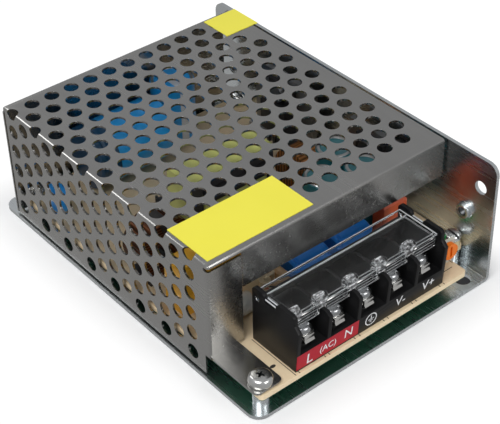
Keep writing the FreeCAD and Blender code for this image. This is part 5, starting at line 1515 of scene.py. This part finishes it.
@dataclass
class Inside:
    """Parts on the board that show through the holes."""

    blue: Color = (0.02, 0.42, 1.0)
    can_top: float = 27.9 * MM
    # Band across the bulk capacitor that is painted lit; outside it the sleeve is painted shade.
    bulk_painted_light: Spot = (-15.5 * MM, 3.0 * MM)
    supply_stripe: float = 9.0 * MM
    unseen: float = 1.0
    choke_pitch: float = 0.9 * MM
    output_pitch: float = 1.1 * MM
    rings: tuple[tuple[float, Color], ...] = (
        (9.6 * MM, (0.28, 0.10, 0.02)),
        (11.2 * MM, (0.02, 0.02, 0.02)),
        (12.8 * MM, (0.5, 0.06, 0.02)),
    )

    def dress(self) -> None:
        """Gives each inner part its finish."""
        self._dress_capacitors()
        self._dress_magnetics()
        self._dress_small_parts()

    def _dress_capacitors(self) -> None:
        """Sleeved cans, boxes and coated discs."""
        bulk = Sleeved("bulk_sleeve", self.blue, self.unseen, self.unseen, *self.bulk_painted_light)
        dress(bulk, "bulk_capacitor")
        supply = Sleeved("supply_sleeve", self.blue, self.can_top, self.supply_stripe)
        dress(supply, "supply_capacitor")
        dress(Moulded("front_sleeve", (0.01, 0.22, 0.75), roughness=0.3, coat=0.4), "front_capacitors")
        output = Sleeved("output_sleeve", (0.02, 0.20, 0.24), self.can_top, self.unseen)
        dress(output, "output_capacitors")
        blue = Moulded("blue_coat", (0.01, 0.36, 1.0), roughness=0.3, coat=0.3)
        dress(blue, "surge_varistor", "safety_capacitor")
        dress(Moulded("amber_box", (1.0, 0.52, 0.03), roughness=0.35, coat=0.3), "filter_capacitor")
        dress(Moulded("red_film_box", (0.66, 0.10, 0.03), roughness=0.35, coat=0.2), "film_capacitor")
        dress(Moulded("tan_film_box", (0.58, 0.38, 0.20), roughness=0.4, coat=0.2), "snubber_capacitor")

    def _dress_magnetics(self) -> None:
        """Taped and wound coils on dark ferrite."""
        tape = Moulded("yellow_tape", (0.76, 0.80, 0.26), roughness=0.35, coat=0.2)
        dress(tape, "transformer_tape", "transformer_winding")
        ferrite = Moulded("ferrite", (0.05, 0.05, 0.052), roughness=0.55)
        dress(ferrite, "transformer_core", "line_choke_core", "output_choke_core")
        dress(Wound("choke_wire", (0.16, 0.055, 0.02), self.choke_pitch, Axis.Z), "line_choke_windings")
        dress(Wound("output_wire", (0.72, 0.30, 0.10), self.output_pitch, Axis.Y), "output_choke_winding")

    def _dress_small_parts(self) -> None:
        """Packages, heatsinks, fuse and resistors."""
        epoxy = Moulded("black_epoxy", (0.02, 0.02, 0.022), roughness=0.45)
        dress(epoxy, "transformer_bobbin", "line_choke_foot", "controller_chip", "optocoupler",
              "switching_transistor", "output_rectifier", "bridge_diodes")
        sink = SheetSteel("sink_aluminium", (0.45, 0.45, 0.46), (0.34, 0.34, 0.35), roughness=0.42,
                          grain=Direction.UPWARD)
        dress(sink, "primary_heatsink", "secondary_heatsink")
        dress(Plated("package_zinc", (0.30, 0.30, 0.30), roughness=0.45), "package_screws")
        dress(Moulded("fuse_ceramic", (0.75, 0.74, 0.70), roughness=0.35, coat=0.3), "line_fuse")
        dress(Banded("resistor_bands", self.rings), "standing_resistors")


# Terminals


@dataclass
class TerminalBlock:
    """Five-pole block with its contacts, clamp plates and screws.

    Grooves are shares of the clamp plate's height.
    """

    edge: float = 0.14 * MM
    clamp_edge: float = 0.1 * MM
    head_radius: float = 2.7 * MM
    head_height: float = 1.9 * MM
    shank_radius: float = 1.45 * MM
    tongue_reach: float = 0.85 * MM
    tongue_half: float = 1.5 * MM
    tongue_drop: float = 0.1 * MM
    tongue_edge: float = 0.08 * MM
    grooves: tuple[Spot, ...] = ((0.3, 0.45), (0.75, 0.9))
    groove_depth: float = 0.35 * MM
    side_tilt: float = 0.5

    def dress(self) -> None:
        """Black block and plated metal."""
        block = Bench.softened("terminal_block", "block_moulding", self.edge)
        black = Moulded("black_moulding", (0.005, 0.005, 0.0056), roughness=0.42, shine=0.26).material()
        Bench.finish(block, "case", black)
        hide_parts("terminal_block")
        plate = dress(Plated("clamp_plating", (0.88, 0.87, 0.84), roughness=0.2), "terminal_contacts")
        dark = Plated("screw_plating", (0.46, 0.47, 0.48), roughness=0.24).material()
        # Painted shade: the cross recesses of the pole screws are coloured dark where shade falls in them.
        recess = Plated("pole_recess", (0.06, 0.065, 0.07), roughness=0.4).material()
        for pole in range(1, POLES + 1):
            self._clamp(pole, plate)
            self._screw(pole, dark, recess)

    def _clamp(self, pole: int, plate: bpy.types.Material) -> None:
        """Clamp plate of one pole with its ridged tongue.

        Args:
            pole: Number of the pole, from 1.
            plate: Finish of the plate.
        """
        clamp = Bench.softened(f"clamp_plate_{pole}", f"clamp_{pole}_plate", self.clamp_edge)
        Bench.finish(clamp, f"clamp_{pole}", plate)
        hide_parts(f"clamp_plate_{pole}")
        Bench.finish(self._tongue(pole), f"clamp_{pole}", plate)

    def _screw(self, pole: int, dark: bpy.types.Material, recess: bpy.types.Material) -> None:
        """Cross-head screw of one pole.

        Args:
            pole: Number of the pole, from 1.
            dark: Finish of the screw.
            recess: Finish of its recess, painted dark as painted shade.
        """
        node = f"terminal_screw_{pole}"
        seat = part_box(f"clamp_plate_{pole}")[1][2]
        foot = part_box(node)[0][2]
        head = PanHead(seat, self.head_radius, self.head_height, self.shank_radius, foot)
        screw = head.build(f"pole_{pole}_screw", middle_of(node), dark, recess)
        Bench.finish(screw, f"screw_{pole}", dark, recess)
        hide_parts(node)

    def _tongue(self, pole: int) -> bpy.types.Object:
        """Turned-up front of one clamp plate, with two ridges across it.

        Args:
            pole: Number of the pole, from 1.

        Returns:
            The tongue.
        """
        low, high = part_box(f"clamp_plate_{pole}")
        middle = (low[0] + high[0]) / 2
        front = low[1] - self.tongue_reach
        near = (middle - self.tongue_half, front, low[2])
        far = (middle + self.tongue_half, low[1], high[2] - self.tongue_drop)
        tongue = Bench.cuboid(f"clamp_{pole}_tongue", near, far)
        levels = [(low[2] + foot * (high[2] - low[2]), low[2] + top * (high[2] - low[2]))
                  for foot, top in self.grooves]

        def is_upright(_: Vector, face: bmesh.types.BMFace) -> bool:
            """Test for the faces round the sides."""
            return abs(face.normal.z) < self.side_tilt

        def is_groove(centre: Vector, _: object) -> bool:
            """Test for the front faces that are pressed in."""
            in_groove = any(foot < centre.z < top for foot, top in levels)
            return abs(centre.y - front) < NEAR and in_groove

        with Bench.editing(tongue):
            for foot, top in levels:
                Bench.slice_faces(tongue, is_upright, Axis.Z, foot)
                Bench.slice_faces(tongue, is_upright, Axis.Z, top)
            Bench.choose(tongue, Kind.FACE, is_groove)
            bpy.ops.transform.translate(value=(0, self.groove_depth, 0))
        Bench.rounded(tongue, self.tongue_edge, 2)
        return tongue


@dataclass
class TerminalLid:
    """Clear lid with a rounded grip at each finger lug, whose edges, ribs and grips carry painted
    highlights.

    Each lobe of a grip is given by its place behind the lid's front, its place below the lid's top and its
    radius.
    """

    edge: float = 0.2 * MM
    lug_half: float = 1.5 * MM
    first_lug: float = 2.2 * MM
    lobes: tuple[Point, ...] = (
        (1.55 * MM, 0.8 * MM, 0.92 * MM),
        (0.55 * MM, 1.6 * MM, 0.72 * MM),
        (0.45 * MM, 2.9 * MM, 0.5 * MM),
    )
    lobe_sides: int = 16
    lobe_edge: float = 0.42 * MM
    lobe_steps: int = 3
    top: float = 22.5 * MM
    bar_top: float = 22.85 * MM
    bar_depth: float = 2.9 * MM
    end_rim: float = 0.8 * MM
    lip: float = 0.9 * MM
    lip_half: float = 3.2 * MM
    lip_step: float = 0.9 * MM
    lip_lines: int = 3
    rib: float = 0.3 * MM
    thin_rib: float = 0.7
    rib_edge: float = 0.3

    def dress(self) -> None:
        """Clear sheet, with painted highlights on its edges, ribs and grips."""
        clear = Clear("clear_lid").material()
        # Painted highlights: the rims, ribs and grips are coloured whitish and streaked to stand in for the
        # light that the clear edges gather.
        rim = PaintedGlint("frosted_rim").material()
        grip_highlight = PaintedGlint("cloudy_grip", (0.97, 0.98, 1.0), clear=0.45, shade=0.12, contrast=5.0,
                         grain=(900.0, 1500.0, 1500.0)).material()
        # The rounded edges of the lid take the painted highlight in the second slot.
        lid = Bench.softened("terminal_lid", "lid_moulding", self.edge, rim_slot=True)
        Bench.finish(lid, "lid", clear, rim)
        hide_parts("terminal_lid")
        Bench.finish(self._grips(), "lid", grip_highlight)
        Bench.finish(self._highlight_ribs(), "lid", rim)

    @staticmethod
    def _poles() -> list[float]:
        """Middle of each pole along X."""
        return [middle_of(f"terminal_screw_{pole}")[0] for pole in range(1, POLES + 1)]

    def _grips(self) -> bpy.types.Object:
        """Lobes over each finger lug: the first near the lid's end, the others between two poles.

        Returns:
            The grips as one object.
        """
        low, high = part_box("terminal_lid")
        poles = self._poles()
        half_pitch = (poles[1] - poles[0]) / 2
        grips = []
        for x in (low[0] + self.first_lug, *(pole - half_pitch for pole in poles[1:])):
            for behind, below, radius in self.lobes:
                centre = (x, low[1] + behind, high[2] - below)
                width = 2 * self.lug_half
                grip = Bench.rod("grip", centre, radius, width, (0, QUARTER, 0), self.lobe_sides)
                Bench.rounded(grip, self.lobe_edge, self.lobe_steps, CORNER_ANGLE)
                grips.append(grip)
        return Bench.join("lid_grips", grips)

    def _highlight_ribs(self) -> bpy.types.Object:
        """Rounded strips of painted highlight that trace the lid's raised bar, end rims and front lip.

        Returns:
            The ribs as one object.
        """
        (left, front, foot), (right, rear, _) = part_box("terminal_lid")
        rise, width, top = self.bar_top, self.rib, self.top
        bar = rear - self.bar_depth
        lip = front + self.lip
        lines = [
            ((left, rear - width, rise - width), (right, rear, rise)),
            ((left, bar, rise - width), (right, bar + width, rise)),
            ((left, front, top - width), (right, front + width, top)),
            ((left, lip, top - width), (right, lip + width, top)),
        ]
        for x in (left, left + self.end_rim, right - width, right - self.end_rim - width):
            lines.append(((x, front, rise - width), (x + width, rear, rise)))
        for middle in self._poles():
            for line in range(self.lip_lines):
                level = foot + line * self.lip_step
                start = (middle - self.lip_half, front, level)
                end = (middle + self.lip_half, front + width, level + width * self.thin_rib)
                lines.append((start, end))
        ribs = []
        for start, end in lines:
            rib = Bench.cuboid("rib", start, end)
            Bench.rounded(rib, width * self.rib_edge, 2)
            ribs.append(rib)
        return Bench.join("lid_ribs", ribs)


@dataclass(frozen=True)
class PoleMark:
    """One printed sign: its piece's name, what it says, its middle and its height."""

    name: str
    sign: str
    x: float
    z: float
    size: float


@dataclass
class EarthSign:
    """Protective earth sign: a ring round a stem and three bars.

    Each bar is given in millimetres by half its width, its foot and its top.
    """

    radius: float = 1.75 * MM
    line: float = 0.16 * MM
    flatness: float = 0.3
    ring_steps: int = 40
    line_steps: int = 6
    film: float = 0.03 * MM
    bars: tuple[Point, ...] = (
        (0.12, 0.0, 1.2),
        (0.95, 0.0, 0.14),
        (0.62, -0.45, -0.31),
        (0.3, -0.9, -0.76),
    )

    def build(self) -> list[bpy.types.Object]:
        """Models the sign lying flat at the origin.

        Returns:
            The ring, the stem and the bars.
        """
        Bench.clear()
        bpy.ops.mesh.primitive_torus_add(
            major_radius=self.radius, minor_radius=self.line, major_segments=self.ring_steps,
            minor_segments=self.line_steps)
        bpy.context.object.scale = (1, 1, self.flatness)
        pieces = [Bench.named("earth_ring")]
        for half, foot, top in self.bars:
            low = (-half * MM, foot * MM, -self.film)
            high = (half * MM, top * MM, self.film)
            pieces.append(Bench.cuboid("earth_bar", low, high))
        return pieces


@dataclass
class BlockFace:
    """Leaning front face of the block with its red film and printed pole marks."""

    front: float = -54.0 * MM
    lean: float = 1.0 / 12.4
    board: float = 7.6 * MM
    strip_low: float = 8.1 * MM
    strip_high: float = 12.75 * MM
    strip_left: float = -26.15 * MM
    strip_right: float = -6.6 * MM
    strip_film: float = 0.04 * MM
    strip_corner: float = 0.3 * MM
    text_size: float = 3.7 * MM
    tall: float = 1.2
    small: float = 0.72
    slant: float = 0.06
    ink: float = 0.02 * MM
    ink_gap: float = 0.06 * MM
    text_steps: int = 4
    earth_place: Spot = (-2.5 * MM, 10.5 * MM)
    earth_gap: float = 0.04 * MM

    def dress(self) -> None:
        """Red film and white ink."""
        red = Moulded("red_film", (0.44, 0.004, 0.02), roughness=0.4, shine=0.3).material()
        Bench.finish(self._strip(), "case", red)
        white = Moulded("white_ink", (0.78, 0.79, 0.80), roughness=0.5).material()
        for mark in self._marks():
            Bench.finish(mark, "case", white)

    def _face(self, z: float) -> float:
        """Y of the leaning front face at a height."""
        return self.front - (z - self.board) * self.lean

    def _against(self, obj: bpy.types.Object, x: float, z: float, gap: float) -> None:
        """Stands a flat piece up against the leaning face.

        Args:
            obj: The piece, lying flat at the origin.
            x: Where its middle goes along X.
            z: Where its middle goes in height.
            gap: How far it stands before the face.
        """
        obj.rotation_euler = (QUARTER + math.atan(self.lean), 0, 0)
        obj.location = (x, self._face(z) - gap, z)

    def _strip(self) -> bpy.types.Object:
        """Red film on the supply side of the front face.

        Returns:
            The film.
        """
        low, high = self.strip_low, self.strip_high
        near = (self.strip_left, self.front - self.strip_film, low)
        strip = Bench.cuboid("red_strip", near, (self.strip_right, self.front, high))
        with Bench.editing(strip):
            for level in (low, high):
                Bench.choose(strip, Kind.VERT, on_plane(Axis.Z, level))
                bpy.ops.transform.translate(value=(0, self._face(level) - self.front, 0))
            Bench.choose(strip, Kind.EDGE, on_plane(Axis.Z, (low + high) / 2))
            bpy.ops.mesh.bevel(offset=self.strip_corner, segments=2, affect="EDGES")
        return strip

    def _text(self, mark: PoleMark) -> bpy.types.Object:
        """One slanted mark on the leaning face, made a mesh.

        Args:
            mark: What it says, where and how tall.

        Returns:
            The mark.
        """
        Bench.clear()
        bpy.ops.object.text_add(location=(0, 0, 0))
        text = bpy.context.object
        text.data.body = mark.sign
        text.data.size = mark.size
        text.data.shear = self.slant
        text.data.align_x = "CENTER"
        text.data.align_y = "CENTER"
        text.data.extrude = self.ink
        text.data.resolution_u = self.text_steps
        bpy.ops.object.convert(target="MESH")
        self._against(bpy.context.object, mark.x, mark.z, self.ink_gap)
        return Bench.named(mark.name)

    def _marks(self) -> list[bpy.types.Object]:
        """Pole marks: L, AC, N, minus, plus and earth.

        Returns:
            One object for each mark.
        """
        size = self.text_size
        rows = (
            PoleMark("mark_live", "L", x=-22.2 * MM, z=9.9 * MM, size=size * self.tall),
            PoleMark("mark_supply", "(AC)", x=-16.4 * MM, z=10.3 * MM, size=size * self.small),
            PoleMark("mark_neutral", "N", x=-9.9 * MM, z=10.5 * MM, size=size),
            PoleMark("mark_minus", "V-", x=7.3 * MM, z=10.6 * MM, size=size),
            PoleMark("mark_plus", "V+", x=16.8 * MM, z=10.6 * MM, size=size),
        )
        marks = [self._text(row) for row in rows]
        pieces = EarthSign().build()
        for piece in pieces:
            self._against(piece, *self.earth_place, self.earth_gap)
        return [*marks, Bench.join("mark_earth", pieces)]


# Studio


@dataclass(frozen=True)
class Softbox:
    """Square lamp: its place, what it is aimed at, its width and its power in watts."""

    name: str
    place: Point
    target: Point
    width: float
    power: float

    def build(self) -> None:
        """Hangs the lamp."""
        Bench.clear()
        bpy.ops.object.light_add(type="AREA", location=self.place)
        lamp = bpy.context.object
        lamp.name = self.name
        lamp.data.shape = "SQUARE"
        lamp.data.size = self.width
        lamp.data.energy = self.power
        aim = Vector(self.target) - Vector(self.place)
        lamp.rotation_euler = aim.to_track_quat("-Z", "Y").to_euler()


@dataclass
class Studio:
    """White floor, soft lights and the camera, whose angles are in degrees."""

    camera_place: Point = (-0.179446, -0.228985, 0.236426)
    azimuth: float = -38.8154
    elevation: float = 37.9293
    roll: float = -1.4407
    focal_pixels: float = 1392.733
    frame_width: int = 500
    sensor: float = 36.0
    nearest: float = 10.0 * MM
    floor_size: float = 6.0
    floor_drop: float = 0.2 * MM
    floor_roughness: float = 0.9
    floor_pale: Color = (0.9, 0.9, 0.9)
    # Painted shade: the floor's colour under the case, where it is seen only through the holes.
    under_painted_shade: Color = (0.06, 0.06, 0.065)
    floor_glow: float = 1.05
    case_half: Spot = (39.0 * MM, 55.0 * MM)
    fade: float = 14.0 * MM
    under_edge: float = 1.75 * MM
    mirrored: float = 0.42
    surround: Color = (0.42, 0.425, 0.435)
    softboxes: tuple[Softbox, ...] = (
        Softbox("key", place=(-0.42, -0.18, 0.62), target=ORIGIN, width=0.4, power=3.2),
        Softbox("front", place=(0.12, -0.62, 0.4), target=(0.0, 0.0, 0.02), width=0.3, power=1.3),
        Softbox("rear", place=(-0.1, 0.6, 0.55), target=(0.0, 0.0, 0.02), width=0.3, power=1.2),
    )

    def build(self) -> None:
        """Sets the whole stage."""
        self._floor()
        self._world()
        for softbox in self.softboxes:
            softbox.build()
        self._camera()
        bpy.context.scene.view_settings.view_transform = "Standard"

    def _floor(self) -> None:
        """Pale floor that keeps the object's shadow, with painted shade under the case."""
        Bench.clear()
        bpy.ops.mesh.primitive_plane_add(size=self.floor_size, location=(0, 0, -self.floor_drop))
        floor = bpy.context.object
        floor.name = "floor"
        paint = Paint("floor_white", Roughness=self.floor_roughness)
        x, y, _ = paint.axes()
        outside = (x.size() - self.case_half[0]).at_least(y.size() - self.case_half[1])
        # Painted shade under the case, pale floor beyond it.
        paint.set("Base Color", paint.mix(outside > -self.under_edge, self.under_painted_shade, self.floor_pale))
        seen = (paint.ray(Ray.CAMERA) + paint.ray(Ray.TRANSMISSION)).clamped()
        shown = seen * (outside / self.fade).clamped()
        lit = paint.blend(shown, paint.first(paint.shader), paint.glow(WHITE, self.floor_glow))
        paint.surface(paint.blend(paint.ray(Ray.GLOSSY), lit, paint.glow(WHITE, self.mirrored)))
        floor.data.materials.append(paint.material)

    def _world(self) -> None:
        """Soft grey surround, white where the camera sees it."""
        world = bpy.data.worlds.new("studio")
        bpy.context.scene.world = world
        tree = Tree(world)
        seen = tree.blend(tree.ray(Ray.CAMERA), tree.background(self.surround), tree.background(WHITE))
        tree.node("OutputWorld", inputs={"Surface": seen})

    def _camera(self) -> None:
        """Camera at the photograph's place, with its lens."""
        azimuth = math.radians(self.azimuth)
        elevation = math.radians(self.elevation)
        roll = math.radians(self.roll)
        level = math.cos(elevation)
        back = Vector((math.sin(azimuth) * level, -math.cos(azimuth) * level, math.sin(elevation)))
        right = Vector((0, 0, 1)).cross(back).normalized()
        up = back.cross(right)
        turned_right = right * math.cos(roll) + up * math.sin(roll)
        turned_up = up * math.cos(roll) - right * math.sin(roll)
        data = bpy.data.cameras.new("camera")
        data.sensor_fit = "HORIZONTAL"
        data.sensor_width = self.sensor
        data.lens = self.focal_pixels * self.sensor / self.frame_width
        data.clip_start = self.nearest
        camera = bpy.data.objects.new("camera", data)
        bpy.context.scene.collection.objects.link(camera)
        turn = Matrix((turned_right, turned_up, back)).transposed()
        camera.matrix_world = Matrix.Translation(Vector(self.camera_place)) @ turn.to_4x4()
        bpy.context.scene.camera = camera


def main() -> None:
    """Builds every sub-assembly in order and reports it."""
    logging.basicConfig(level=logging.INFO, format="%(message)s")
    parts = (
        Chassis(), Board(), Inside(), TerminalBlock(), TerminalLid(), BlockFace(), FrontControls(),
        PerforatedCover(), Labels(),
    )
    for part in parts:
        LOG.info("%s", type(part).__name__)
        part.dress()
    Studio().build()


if __name__ == "__main__":
    main()
